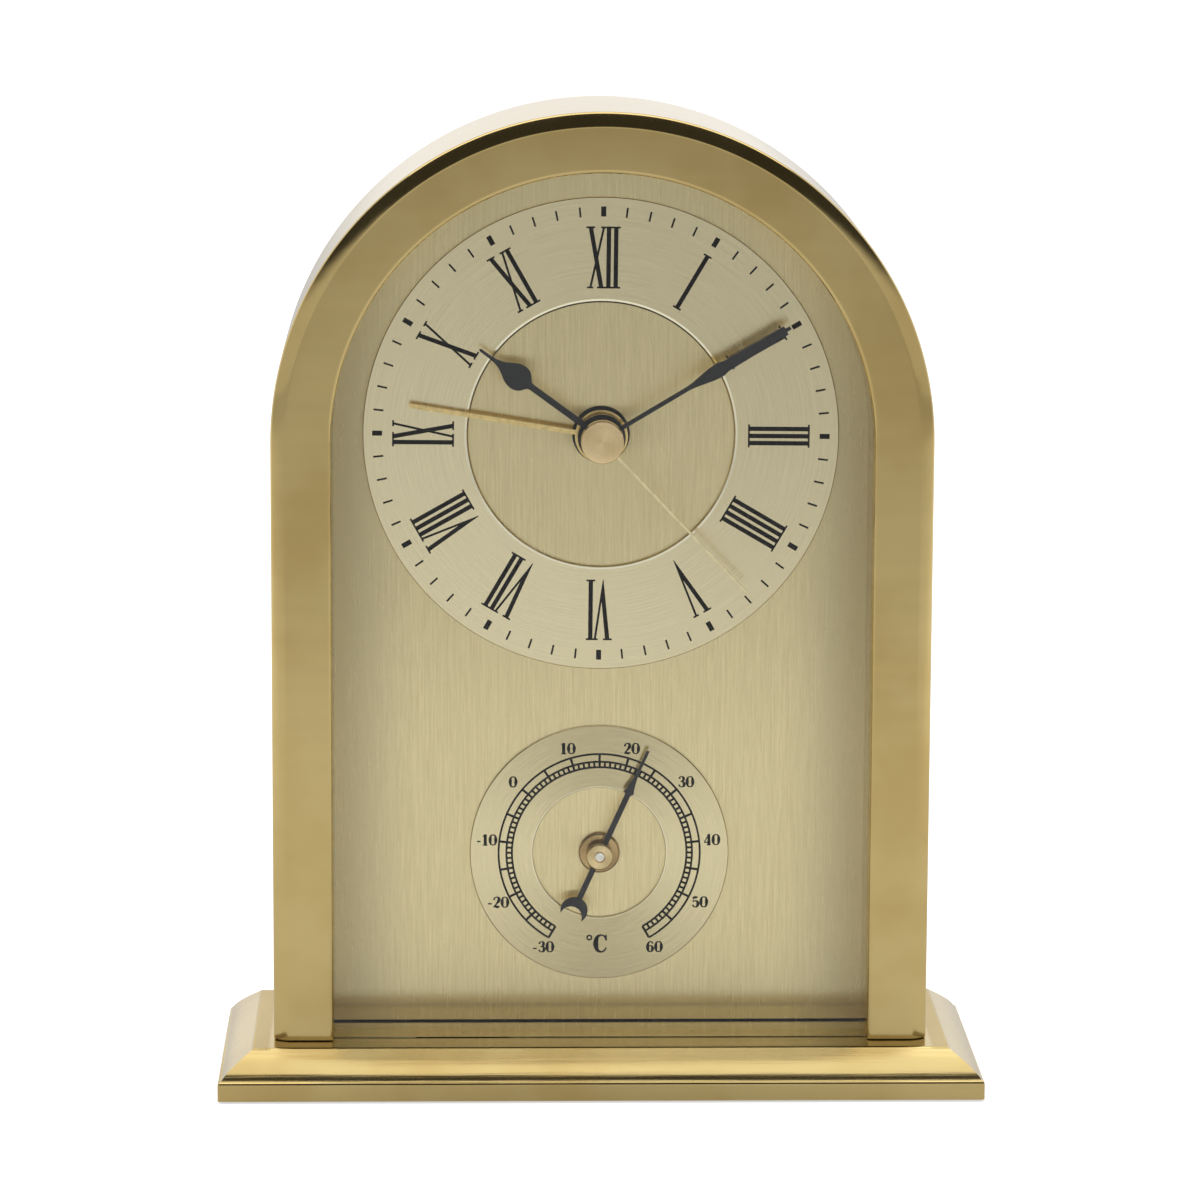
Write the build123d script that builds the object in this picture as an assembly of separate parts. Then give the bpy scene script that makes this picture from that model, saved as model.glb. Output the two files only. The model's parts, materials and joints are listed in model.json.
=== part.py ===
from build123d import *
import math
import os

# An arch-topped brass mantel clock with a dial thermometer, on a bevelled plinth.
# Millimetres, +Z up, front towards -Y, origin at the bottom centre of the plinth's felt.

# Plinth and felt
base_width = 130.0
base_depth = 52.0
base_height = 7.8
base_band = 3.0
base_bevel = 6.0
base_round = 0.6
felt_thickness = 1.0
felt_recess = 0.6
felt_margin = 2.0

# Arch case
arch_radius = 55.8
arch_rise = 102.8
frame_width = 10.2
case_depth = 35.5
front_ledge = 4.0
case_wall = 3.0
frame_round = 2.6
frame_inner_chamfer = 0.5
foot_boss = 8.0

# Glass, dial panel and rings
glass_thickness = 1.0
glass_setback = 2.2
glass_room = 0.5
glass_groove = 2.0
fit_clearance = 0.2
panel_thickness = 0.8
chapter_radius = 40.5
chapter_inner_radius = 22.6
chapter_thickness = 0.8
chapter_bevel = 0.5
hub_hole_radius = 4.9
scale_ring_radius = 22.3
scale_ring_inner_radius = 11.45
scale_ring_thickness = 0.6
thermometer_drop = 72.8

# Back cover, pillars and fasteners
cover_thickness = 2.0
cover_inset = 1.5
window_clearance = 0.5
vent_length = 26.0
vent_width = 2.0
vent_pitch = 5.0
vent_count = 5
pillar_radius = 2.5
pillar_stud_radius = 1.4
pillar_stud_length = 4.0
pillar_low = 14.0
pillar_high = 68.0
cover_screw_radius = 1.2
cover_screw_length = 7.0
cover_screw_head_radius = 2.4
cover_screw_head = 1.3
base_screw_radius = 2.0
base_screw_head_radius = 3.6
base_screw_head = 2.4
base_screw_bite = 7.0
thread_clearance = 0.05
stud_radius = 1.2
stud_length = 5.0
nut_across_corners = 5.6
nut_thickness = 1.8
lug_size = 8.0
lug_thickness = 2.0
lug_height = 12.0

# Movement housing, measured back from the rear of the dial panel
shell_wall = 1.4
shell_split = 8.0
movement_top = 20.0
movement_bottom = 38.0
post_radius = 2.2
post_merge = 0.6
case_screw_radius = 0.95
case_screw_head_radius = 1.9
case_screw_head = 1.6
case_screw_bite = 5.0
bush_radius = 4.0
bush_proud = 1.2
boss_radius = 1.6
boss_length = 1.8
plate_thickness = 1.0
plate_pin_radius = 1.2
plate_pin_proud = 0.3
plate_post_shoulder = 0.7
plate_post_margin = 0.8
plate_left = 22.6
plate_right = 16.6
plate_top = 17.6
plate_bottom = 18.8

# Battery, an AA cell lying across the bottom of the movement
battery_length = 50.5
battery_radius = 7.25
battery_nub_radius = 2.75
battery_nub = 1.3
battery_room = 0.35
contact_space = 2.35
contact_thickness = 0.4
contact_height = 9.0

# Gear train
pressure_angle = 25.0
addendum = 0.7
dedendum = 0.95
backlash = 0.05
layer_gap = 0.6
front_wheel = 0.8
fine_wheel = 0.6
pinion_overhang = 0.2
clutch_space = 1.1
pinion_teeth = 8
rotor_wheel_teeth = 32
second_wheel_teeth = 60
third_wheel_teeth = 60
centre_wheel_teeth = 64
cannon_teeth = 12
minute_wheel_teeth = 36
minute_pinion_teeth = 10
hour_wheel_teeth = 40
alarm_wheel_teeth = 40
alarm_pinion_teeth = 20
rotor_module = 0.25
train_module = 0.3
motion_module = 0.45
alarm_module = 0.4
rotor_bearing = 20.0
intermediate_bearing = 90.0
third_bearing = 180.0
minute_wheel_bearing = -45.0
alarm_stem_bearing = 237.0
pivot_clearance = 0.05
arbor_radius = 0.5
setting_arbor_radius = 1.0
setting_pivot_radius = 0.6
setting_pivot_depth = 0.8
clutch_thickness = 0.3
clutch_width = 1.2
stop_collar_thickness = 0.3
stop_collar_width = 0.9

# Concentric pipes that carry the hands
pipe_clearance = 0.06
second_arbor_radius = 0.5
minute_pipe_radius = 1.5
hour_pipe_radius = 2.3
alarm_pipe_radius = 3.0

# Stepping motor and electronics
rotor_radius = 2.3
rotor_height = 1.8
rotor_gap = 0.4
stator_thickness = 0.8
stator_margin = 0.7
stator_post_radius = 0.9
stator_post_gap = 0.4
coil_x = 22.0
coil_low = -1.0
coil_high = 12.2
limb_width = 2.2
core_width = 2.4
core_thickness = 1.0
bobbin_radius = 1.9
bobbin_flange_radius = 3.6
bobbin_flange = 0.8
winding_radius = 3.1
coil_end_gap = 0.2
board_width = 17.0
board_height = 12.0
board_thickness = 0.8
board_inset = 6.5
board_low = 5.0
board_peg_radius = 0.9
board_peg_shoulder = 0.7
board_peg_proud = 0.4
board_peg_inset = 2.5
crystal_radius = 1.0
crystal_length = 6.0
chip_radius = 2.6
chip_height = 0.9
buzzer_radius = 5.4
buzzer_height = 4.0
buzzer_hole_radius = 1.0
buzzer_hole_depth = 1.0
buzzer_inset = 9.8
buzzer_z = -10.5
switch_inset = 7.0
switch_z = 1.2
switch_travel = 4.0
switch_stem = 2.6
switch_button = 4.4
switch_button_height = 1.6
switch_slider = 0.9
knob_height = 3.4
knob_gap = 0.4
time_knob_radius = 5.0
alarm_knob_radius = 4.4
knob_flutes = 20
knob_flute_radius = 0.5

# Hands, measured forward from the dial panel
hand_thickness = 0.4
collar_length = 1.3
collar_wall = 0.6
hand_pitch = 1.9
alarm_hand_stand = 2.0
alarm_hand_angle = 279.2
alarm_hand_length = 33.0
alarm_hand_width = 0.85
alarm_eye_radius = 4.5
hour_hand_angle = 306.1
hour_hand_length = 25.7
hour_hand_width = 1.12
hour_bulb_place = 17.6
hour_bulb_radius = 2.25
hour_neck_place = 22.8
hour_neck_width = 0.6
hour_eye_radius = 4.05
minute_hand_angle = 59.0
minute_hand_length = 37.0
minute_hand_width = 0.78
minute_leaf_start = 17.5
minute_leaf_place = 24.0
minute_leaf_width = 2.55
minute_tip_width = 1.6
minute_eye_radius = 3.4
second_hand_angle = 136.5
second_hand_length = 35.8
second_hand_width = 0.5
second_tip_width = 0.28
second_eye_radius = 1.8
second_cap_radius = 3.65
second_cap_height = 1.8
second_cap_boss_radius = 1.3
second_cap_boss = 0.4

# Thermometer
scale_middle = 15.0
degrees_per_celsius = 10.0 / 3.0
thermometer_reading = 22.3
thermo_bush_flange_radius = 3.55
thermo_bush_flange = 1.0
thermo_bush_radius = 2.6
thermo_bush_length = 4.0
thermo_arbor_radius = 0.8
pointer_stand = 2.4
pointer_length = 20.2
pointer_width = 1.0
pointer_barb_place = 12.0
pointer_barb_width = 1.8
pointer_eye_radius = 1.9
crescent_place = 10.6
crescent_radius = 2.35
crescent_bite_radius = 1.9
crescent_bite_shift = 1.35
thermo_cap_radius = 2.33
thermo_cap_height = 1.4
bimetal_thickness = 0.3
bimetal_width = 2.2
bimetal_gap = 0.4
bimetal_start = 1.25
bimetal_pitch = 1.7
bimetal_turns = 4
bracket_thickness = 0.8
bracket_width = 12.0
bracket_half_span = 12.0
bracket_foot = 6.0
anchor_radius = 0.8

# How far a cut runs past the face it opens, how far a boss sinks into its wall, and the slack when
# an edge is picked by its place
past = 1.0
weld = 0.2
near = 0.01

# Places worked out from the sizes above
base_bottom = felt_thickness - felt_recess
base_top = base_bottom + base_height
dial_z = base_top + arch_rise
arch_inner_radius = arch_radius - frame_width
pocket_radius = arch_radius - case_wall
hour_stand = alarm_hand_stand + hand_pitch
minute_stand = hour_stand + hand_pitch
second_stand = minute_stand + hand_pitch
hands_depth = second_stand + hand_thickness + second_cap_boss + second_cap_height
reveal_depth = glass_setback + glass_thickness + glass_room + hands_depth
case_front = -(base_depth / 2 - base_bevel - front_ledge)
case_back = case_front + case_depth
panel_front = case_front + reveal_depth
panel_back = panel_front + panel_thickness
glass_front = case_front + glass_setback
glass_back = glass_front + glass_thickness
cover_back = case_back - cover_inset
cover_front = cover_back - cover_thickness
thermo_z = dial_z - thermometer_drop
pillar_ring = (arch_inner_radius + pocket_radius) / 2
diagonal = pillar_ring * math.sqrt(0.5)
pillar_places = [
    (side * x, z)
    for side in (-1, 1)
    for x, z in (
        (pillar_ring, base_top + pillar_low),
        (pillar_ring, base_top + pillar_high),
        (diagonal, dial_z + diagonal),
    )
]

# Depth of each layer of the movement behind the panel
movement_front = panel_back
alarm_y = movement_front + shell_wall + layer_gap
hour_y = alarm_y + front_wheel + layer_gap
cannon_y = hour_y + front_wheel + layer_gap
cannon_length = front_wheel + 2 * pinion_overhang
plate_y = cannon_y + cannon_length + layer_gap
centre_y = plate_y + plate_thickness + layer_gap
third_y = centre_y + front_wheel + clutch_space
second_y = third_y + fine_wheel + layer_gap + pinion_overhang
intermediate_y = second_y + fine_wheel + layer_gap
pivot_y = intermediate_y + fine_wheel + layer_gap
shell_inside = pivot_y + boss_length
movement_back = shell_inside + shell_wall
split_y = movement_front + shell_split
half_width = battery_length / 2 + contact_space + shell_wall
inner_half_width = half_width - shell_wall
switch_x = -half_width + switch_inset
buzzer_x = -half_width + buzzer_inset
shell_top = dial_z + movement_top
shell_bottom = dial_z - movement_bottom
battery_z = shell_bottom + shell_wall + battery_room + battery_radius
battery_y = movement_front + shell_wall + battery_room + battery_radius
bay_top = battery_z + battery_radius + battery_room


def polar(distance, bearing):
    turn = math.radians(bearing)
    return (distance * math.cos(turn), distance * math.sin(turn))


def shifted(start, step):
    return (start[0] + step[0], start[1] + step[1])


# Axes of the train in the X-Z plane
centre_at = (0.0, dial_z)
train_distance = train_module * (pinion_teeth + second_wheel_teeth) / 2
centre_module = 2 * train_distance / (pinion_teeth + centre_wheel_teeth)
motion_distance = motion_module * (cannon_teeth + minute_wheel_teeth) / 2
hour_module = 2 * motion_distance / (minute_pinion_teeth + hour_wheel_teeth)
alarm_distance = alarm_module * (alarm_wheel_teeth + alarm_pinion_teeth) / 2
rotor_distance = rotor_module * (pinion_teeth + rotor_wheel_teeth) / 2
intermediate_at = shifted(centre_at, polar(train_distance, intermediate_bearing))
rotor_at = shifted(intermediate_at, polar(rotor_distance, rotor_bearing))
third_at = shifted(centre_at, polar(train_distance, third_bearing))
minute_wheel_at = shifted(centre_at, polar(motion_distance, minute_wheel_bearing))
alarm_stem_at = shifted(centre_at, polar(alarm_distance, alarm_stem_bearing))
thermo_at = (0.0, thermo_z)


# Building blocks
def block(x_range, y_range, z_range):
    size = [high - low for low, high in (x_range, y_range, z_range)]
    middle = [(high + low) / 2 for low, high in (x_range, y_range, z_range)]
    return Pos(*middle) * Box(*size)


def rod(at, radius, front, back):
    place = Pos(at[0], (front + back) / 2, at[1])
    return place * Cylinder(radius, back - front, rotation=(90, 0, 0))


def bore(at, radius, front, back):
    return rod(at, radius, front - past, back + past)


def tube(at, outer, inner, front, back):
    return rod(at, outer, front, back) - bore(at, inner, front, back)


def upright(x, y, radius, low, high):
    return Pos(x, y, (low + high) / 2) * Cylinder(radius, high - low)


def prism(face, front, back):
    return extrude(Plane.XZ.offset(-back) * face, back - front)


def polygon(points):
    return make_face(Polyline(*points, close=True))


def arch_face(radius, bottom):
    top = (0, dial_z + radius)
    return make_face(
        [
            Line((-radius, bottom), (radius, bottom)),
            Line((radius, bottom), (radius, dial_z)),
            ThreePointArc((radius, dial_z), top, (-radius, dial_z)),
            Line((-radius, dial_z), (-radius, bottom)),
        ]
    )


def arch(radius, bottom, front, back):
    return prism(arch_face(radius, bottom), front, back)


def joined(solids):
    whole = solids[0]
    for solid in solids[1:]:
        whole = whole + solid
    return whole


def involute(angle):
    return math.tan(angle) - angle


def tooth_half_angle(teeth, module, radius):
    pitch_radius = teeth * module / 2
    flank = math.radians(pressure_angle)
    base_radius = pitch_radius * math.cos(flank)
    local = math.acos(min(1.0, base_radius / max(radius, base_radius)))
    half = math.pi / (2 * teeth) - backlash / (2 * pitch_radius)
    return half + involute(flank) - involute(local)


def gear(teeth, module, phase, at, front, back):
    pitch_radius = teeth * module / 2
    root = pitch_radius - dedendum * module
    foot = max(root, pitch_radius * math.cos(math.radians(pressure_angle)))
    radii = (root, (2 * foot + pitch_radius) / 3, pitch_radius, pitch_radius + addendum * module)
    flank = [(radius, tooth_half_angle(teeth, module, radius)) for radius in radii]
    sides = [(r, -half) for r, half in flank] + [(r, half) for r, half in reversed(flank)]
    points = []
    for tooth in range(teeth):
        middle = phase + tooth * 2 * math.pi / teeth
        for radius, swing in sides:
            points.append(shifted(at, polar(radius, math.degrees(middle + swing))))
    return prism(polygon(points), front, back)


def meshed_phase(phase, teeth, other_teeth, bearing):
    line = math.radians(bearing)
    return line + math.pi + ((line - phase) * teeth - math.pi) / other_teeth


def screw(at, radius, length, head_radius, head, seat, forward):
    tip = seat + forward * length
    top = seat - forward * head
    shank = rod(at, radius, min(seat, tip), max(seat, tip))
    return shank + rod(at, head_radius, min(seat, top), max(seat, top))


def nut(at, hole, front):
    face = Pos(*at) * RegularPolygon(nut_across_corners / 2, 6)
    back = front + nut_thickness
    return prism(face, front, back) - bore(at, hole, front, back)


def turned(angle, at, solid):
    return Pos(at[0], 0, at[1]) * Rot(0, angle, 0) * solid


parts = {}


# Plinth with a bevelled top, a shallow recess for the felt and screw holes under the case
foot_x = arch_radius - frame_width / 2
foot_y = case_front + reveal_depth / 2
boss_x = pocket_radius - foot_boss / 2
boss_y = cover_front - fit_clearance - foot_boss / 2
base_screw_places = [(s * x, y) for s in (-1, 1) for x, y in ((foot_x, foot_y), (boss_x, boss_y))]
felt_top = base_bottom + felt_recess
screw_seat = felt_top + base_screw_head


def make_plinth():
    outline = Rectangle(base_width, base_depth)
    top = Rectangle(base_width - 2 * base_bevel, base_depth - 2 * base_bevel)
    band_top = base_bottom + base_band
    band = extrude(Pos(0, 0, base_bottom) * outline, base_band)
    slope = loft([Pos(0, 0, band_top) * outline, Pos(0, 0, base_top) * top], ruled=True)
    body = band + slope
    rim = body.edges().filter_by_position(Axis.Z, band_top - near, band_top + near)
    corners = body.edges().filter_by(Axis.Z)
    body = fillet(rim + corners, base_round)
    felt_space = Rectangle(base_width - 2 * felt_margin, base_depth - 2 * felt_margin)
    body = body - extrude(Pos(0, 0, base_bottom) * felt_space, felt_recess)
    for x, y in base_screw_places:
        body = body - upright(x, y, base_screw_radius + thread_clearance, base_bottom, base_top + past)
        body = body - upright(x, y, base_screw_head_radius + fit_clearance, base_bottom, screw_seat)
    return body


def make_felt():
    trim = 2 * (felt_margin + fit_clearance)
    return Pos(0, 0, felt_thickness / 2) * Box(base_width - trim, base_depth - trim, felt_thickness)


def make_base_screws():
    screws = []
    for x, y in base_screw_places:
        head = upright(x, y, base_screw_head_radius, felt_top, screw_seat)
        shank = upright(x, y, base_screw_radius, screw_seat, base_top + base_screw_bite)
        screws.append(head + shank)
    return joined(screws)


# Case: a deep front frame, a thinner wall behind the dial panel, a groove for the glass
def make_case():
    below = base_top - past
    case = arch(arch_radius, base_top, case_front, case_back)
    outline = case.faces().sort_by(Axis.Y)[0].edges().sort_by(Axis.Z)[1:]
    case = fillet(outline, frame_round)
    case = case - arch(arch_inner_radius, below, case_front - past, panel_front + past)
    inner = [
        edge
        for edge in case.faces().sort_by(Axis.Y)[0].edges()
        if abs(edge.position_at(0).X) < arch_inner_radius + near and edge.center().Z > base_top + near
    ]
    case = chamfer(inner, frame_inner_chamfer)
    case = case - arch(pocket_radius, below, panel_front, case_back + past)
    groove = arch_inner_radius + glass_groove
    play = fit_clearance / 2
    case = case - arch(groove, below, glass_front - play, glass_back + play)
    for side in (-1, 1):
        inside = sorted((side * pocket_radius, side * (pocket_radius - foot_boss)))
        depth = (boss_y - foot_boss / 2, boss_y + foot_boss / 2)
        case = case + block(inside, depth, (base_top, base_top + foot_boss))
    for x, y in base_screw_places:
        reach = base_top + base_screw_bite + fit_clearance
        case = case - upright(x, y, base_screw_radius + thread_clearance, below, reach)
    for at in pillar_places:
        depth = panel_front - pillar_stud_length - fit_clearance
        case = case - rod(at, pillar_stud_radius + thread_clearance, depth, panel_front + past)
    return case


def make_glass():
    radius = arch_inner_radius + glass_groove - fit_clearance
    return arch(radius, base_top, glass_front, glass_back)


# Dial panel with soldered studs behind it for the movement and the thermometer bracket
lug_x = half_width + lug_size / 2
movement_lugs = [(s * lug_x, dial_z + t * lug_height) for s in (-1, 1) for t in (-1, 1)]
bracket_feet = [(s * (bracket_half_span + bracket_foot / 2), thermo_z) for s in (-1, 1)]


def make_panel():
    panel = arch(pocket_radius - fit_clearance, base_top, panel_front, panel_back)
    panel = panel - bore(centre_at, hub_hole_radius, panel_front, panel_back)
    panel = panel - bore(thermo_at, thermo_bush_radius, panel_front, panel_back)
    for at in pillar_places:
        panel = panel - bore(at, pillar_stud_radius + thread_clearance, panel_front, panel_back)
    for at in movement_lugs + bracket_feet:
        panel = panel + rod(at, stud_radius, panel_back, panel_back + stud_length)
    return panel


def make_chapter_ring():
    front = panel_front - chapter_thickness
    ring = tube(centre_at, chapter_radius, chapter_inner_radius, front, panel_front)
    rim = ring.faces().sort_by(Axis.Y)[0].edges().sort_by(SortBy.LENGTH)[0]
    return chamfer(rim, chapter_bevel)


def make_scale_ring():
    front = panel_front - scale_ring_thickness
    return tube(thermo_at, scale_ring_radius, scale_ring_inner_radius, front, panel_front)


def make_pillars():
    pillars = []
    reach = cover_back - cover_screw_length - fit_clearance
    for at in pillar_places:
        stud = rod(at, pillar_stud_radius, panel_front - pillar_stud_length, panel_back)
        body = rod(at, pillar_radius, panel_back, cover_front)
        hole = rod(at, cover_screw_radius + thread_clearance, reach, cover_front + past)
        pillars.append(stud + (body - hole))
    return joined(pillars)


def make_back_cover():
    cover = arch(pocket_radius - fit_clearance, base_top + fit_clearance, cover_front, cover_back)
    around = window_clearance
    window = block(
        (-half_width - around, half_width + around),
        (cover_front - past, cover_back + past),
        (shell_bottom - around, shell_top + around),
    )
    cover = cover - window
    for row in range(vent_count):
        height = thermo_z + (row - (vent_count - 1) / 2) * vent_pitch
        slot = Pos(0, height) * SlotOverall(vent_length, vent_width)
        cover = cover - prism(slot, cover_front - past, cover_back + past)
    for at in pillar_places:
        cover = cover - bore(at, cover_screw_radius + fit_clearance, cover_front, cover_back)
    return cover


def make_cover_screws():
    shank = (cover_screw_radius, cover_screw_length)
    head = (cover_screw_head_radius, cover_screw_head)
    return joined([screw(at, *shank, *head, cover_back, -1) for at in pillar_places])


def make_nuts():
    hole = stud_radius + thread_clearance
    lugs = [nut(at, hole, movement_front + lug_thickness) for at in movement_lugs]
    feet = [nut(at, hole, panel_back + bracket_thickness) for at in bracket_feet]
    return joined(lugs + feet)


# Movement housing: front shell with the dial bush, back shell with the battery bay
screw_inset = post_radius + shell_wall - post_merge
partition_top = bay_top + shell_wall
shell_posts = [
    (side * (half_width - screw_inset), z)
    for side in (-1, 1)
    for z in (shell_top - screw_inset, partition_top + post_radius + fit_clearance)
]
post_inset = plate_pin_radius + plate_post_margin
plate_posts = [
    (x, z)
    for x in (-plate_left + post_inset, plate_right - post_inset)
    for z in (dial_z + plate_top - post_inset, dial_z - plate_bottom + post_inset)
]
bush_bore = alarm_pipe_radius + pipe_clearance


def hollow_box(front, back, floor_front, floor_back):
    outside = block((-half_width, half_width), (front, back), (shell_bottom, shell_top))
    inside = block(
        (-inner_half_width, inner_half_width),
        (floor_front, floor_back),
        (shell_bottom + shell_wall, shell_top - shell_wall),
    )
    return outside - inside


def make_front_shell():
    floor = movement_front + shell_wall
    shell = hollow_box(movement_front, split_y, floor, split_y + past)
    for at in movement_lugs:
        reach = (at[0] - lug_size / 2, at[0] + lug_size / 2)
        height = (at[1] - lug_size / 2, at[1] + lug_size / 2)
        shell = shell + block(reach, (movement_front, movement_front + lug_thickness), height)
    for at in shell_posts:
        shell = shell + rod(at, post_radius, floor - weld, split_y)
    for at in plate_posts:
        shell = shell + rod(at, plate_pin_radius + plate_post_shoulder, floor - weld, plate_y)
        pin_end = plate_y + plate_thickness + plate_pin_proud
        shell = shell + rod(at, plate_pin_radius, plate_y - weld, pin_end)
    shell = shell + rod(centre_at, bush_radius, panel_front - bush_proud, floor)
    shell = shell - bore(centre_at, bush_bore, panel_front - bush_proud, floor)
    for at in movement_lugs:
        lug_back = movement_front + lug_thickness
        shell = shell - bore(at, stud_radius + thread_clearance, movement_front, lug_back)
    for at in shell_posts:
        reach = split_y - case_screw_bite - fit_clearance
        shell = shell - rod(at, case_screw_radius + thread_clearance, reach, split_y + past)
    for at in (minute_wheel_at, alarm_stem_at):
        reach = floor - setting_pivot_depth
        shell = shell - rod(at, setting_pivot_radius + pivot_clearance, reach, floor + past)
    return shell


board_y = intermediate_y + fine_wheel / 2
board_back = board_y + board_thickness
board_left = -half_width + board_inset
board_right = board_left + board_width
board_pegs = [
    (board_left + board_peg_inset, dial_z + board_low + board_height - board_peg_inset),
    (board_right - board_peg_inset, dial_z + board_low + board_peg_inset),
]
slot_half = switch_stem / 2 + pivot_clearance
slot_x = (switch_x - slot_half, switch_x + switch_travel + slot_half)
slot_z = (dial_z + switch_z - slot_half, dial_z + switch_z + slot_half)


def make_back_shell():
    shell = hollow_box(split_y, movement_back, split_y - past, shell_inside)
    bay_floor = movement_front + shell_wall + fit_clearance
    shell = shell + block(
        (-inner_half_width + fit_clearance, inner_half_width - fit_clearance),
        (bay_floor, shell_inside + weld),
        (bay_top, partition_top),
    )
    bay = block(
        (-inner_half_width, inner_half_width),
        (shell_inside - past, movement_back + past),
        (shell_bottom + shell_wall, bay_top),
    )
    shell = shell - bay
    for at in shell_posts:
        shell = shell + rod(at, post_radius, split_y, shell_inside + weld)
    for at in (centre_at, third_at, intermediate_at, rotor_at):
        shell = shell + rod(at, boss_radius, pivot_y, shell_inside + weld)
    for at in board_pegs:
        shell = shell + rod(at, board_peg_radius + board_peg_shoulder, board_back, shell_inside + weld)
        shell = shell + rod(at, board_peg_radius, board_y - board_peg_proud, board_back + weld)
    for at in shell_posts:
        shell = shell - bore(at, case_screw_radius + fit_clearance, split_y, movement_back)
        seat = movement_back - case_screw_head
        shell = shell - rod(at, case_screw_head_radius + fit_clearance, seat, movement_back + past)
    for at in (centre_at, third_at, intermediate_at, rotor_at):
        shell = shell - rod(at, arbor_radius + pivot_clearance, pivot_y - past, shell_inside)
    for at in (minute_wheel_at, alarm_stem_at):
        shell = shell - bore(at, setting_arbor_radius + pivot_clearance, shell_inside, movement_back)
    return shell - block(slot_x, (shell_inside - past, movement_back + past), slot_z)


def make_case_screws():
    seat = movement_back - case_screw_head
    length = seat - split_y + case_screw_bite
    return joined(
        [
            screw(at, case_screw_radius, length, case_screw_head_radius, case_screw_head, seat, -1)
            for at in shell_posts
        ]
    )


stator_y = third_y - pinion_overhang
rotor_room = rotor_radius + rotor_gap
stator_posts = [
    (rotor_at[0] + rotor_room + stator_post_gap + stator_post_radius, rotor_at[1] + rotor_radius),
    (plate_right - limb_width, dial_z + (coil_low + coil_high) / 2),
]


def make_train_plate():
    plate = block(
        (-plate_left, plate_right),
        (plate_y, plate_y + plate_thickness),
        (dial_z - plate_bottom, dial_z + plate_top),
    )
    for at in stator_posts:
        plate = plate + rod(at, stator_post_radius, plate_y + plate_thickness - weld, stator_y)
    holes = [(at, plate_pin_radius + thread_clearance) for at in plate_posts]
    holes += [(at, arbor_radius + pivot_clearance) for at in (third_at, intermediate_at, rotor_at)]
    holes += [(at, setting_arbor_radius + pivot_clearance) for at in (minute_wheel_at, alarm_stem_at)]
    holes += [(centre_at, minute_pipe_radius + pipe_clearance)]
    for at, radius in holes:
        plate = plate - bore(at, radius, plate_y, plate_y + plate_thickness)
    return plate


# Stepping motor: a flat stator round the rotor, its two limbs bridged by the core of the coil
core_y = stator_y + stator_thickness
coil_y = core_y + core_thickness / 2


def make_stator():
    room = rotor_room
    left = rotor_at[0] - room - stator_margin
    right = rotor_at[0] + room + 2 * stator_post_radius + stator_margin
    top = rotor_at[1] + room + stator_margin
    bottom = rotor_at[1] - room - stator_margin
    limb_low = dial_z + coil_low
    limb_high = dial_z + coil_high
    limb_x = plate_right - limb_width
    end = coil_x + core_width / 2
    half = limb_width / 2
    body = Pos((left + right) / 2, (top + bottom) / 2) * Rectangle(right - left, top - bottom)
    root = right - stator_margin
    upper = Pos((root + end) / 2, limb_high + half) * Rectangle(end - root, limb_width)
    drop = polygon(
        [
            (root, bottom),
            (limb_x - half, bottom),
            (limb_x - half, limb_low - limb_width),
            (end, limb_low - limb_width),
            (end, limb_low),
            (limb_x + half, limb_low),
            (limb_x + half, bottom + limb_width),
            (root, bottom + limb_width),
        ]
    )
    plate = prism(body, stator_y, core_y) + prism(upper, stator_y, core_y) + prism(drop, stator_y, core_y)
    return plate - bore(rotor_at, room, stator_y, core_y)


def make_coil_core():
    return block(
        (coil_x - core_width / 2, coil_x + core_width / 2),
        (core_y, core_y + core_thickness),
        (dial_z + coil_low - limb_width, dial_z + coil_high + limb_width),
    )


def make_bobbin():
    low = dial_z + coil_low
    high = dial_z + coil_high
    body = upright(coil_x, coil_y, bobbin_radius, low, high)
    for flange in (low + coil_end_gap, high - coil_end_gap - bobbin_flange):
        body = body + upright(coil_x, coil_y, bobbin_flange_radius, flange, flange + bobbin_flange)
    slot = block(
        (coil_x - core_width / 2 - thread_clearance, coil_x + core_width / 2 + thread_clearance),
        (core_y - thread_clearance, core_y + core_thickness + thread_clearance),
        (low - past, high + past),
    )
    return body - slot


def make_winding():
    low = dial_z + coil_low + coil_end_gap + bobbin_flange
    high = dial_z + coil_high - coil_end_gap - bobbin_flange
    inside = upright(coil_x, coil_y, bobbin_radius, low - past, high + past)
    return upright(coil_x, coil_y, winding_radius, low, high) - inside


def make_board():
    board = block(
        (board_left, board_right),
        (board_y, board_back),
        (dial_z + board_low, dial_z + board_low + board_height),
    )
    for at in board_pegs:
        board = board - bore(at, board_peg_radius + thread_clearance, board_y, board_back)
    return board


def make_crystal():
    x = board_left + board_width / 3
    low = dial_z + board_low + (board_height - crystal_length) / 2
    return upright(x, board_y - crystal_radius, crystal_radius, low, low + crystal_length)


def make_chip():
    at = (board_right - board_width / 3, dial_z + board_low + board_height / 2)
    return rod(at, chip_radius, board_y - chip_height, board_y)


def make_buzzer():
    at = (buzzer_x, dial_z + buzzer_z)
    front = shell_inside - buzzer_height
    body = rod(at, buzzer_radius, front, shell_inside)
    return body - rod(at, buzzer_hole_radius, front - past, front + buzzer_hole_depth)


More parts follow.
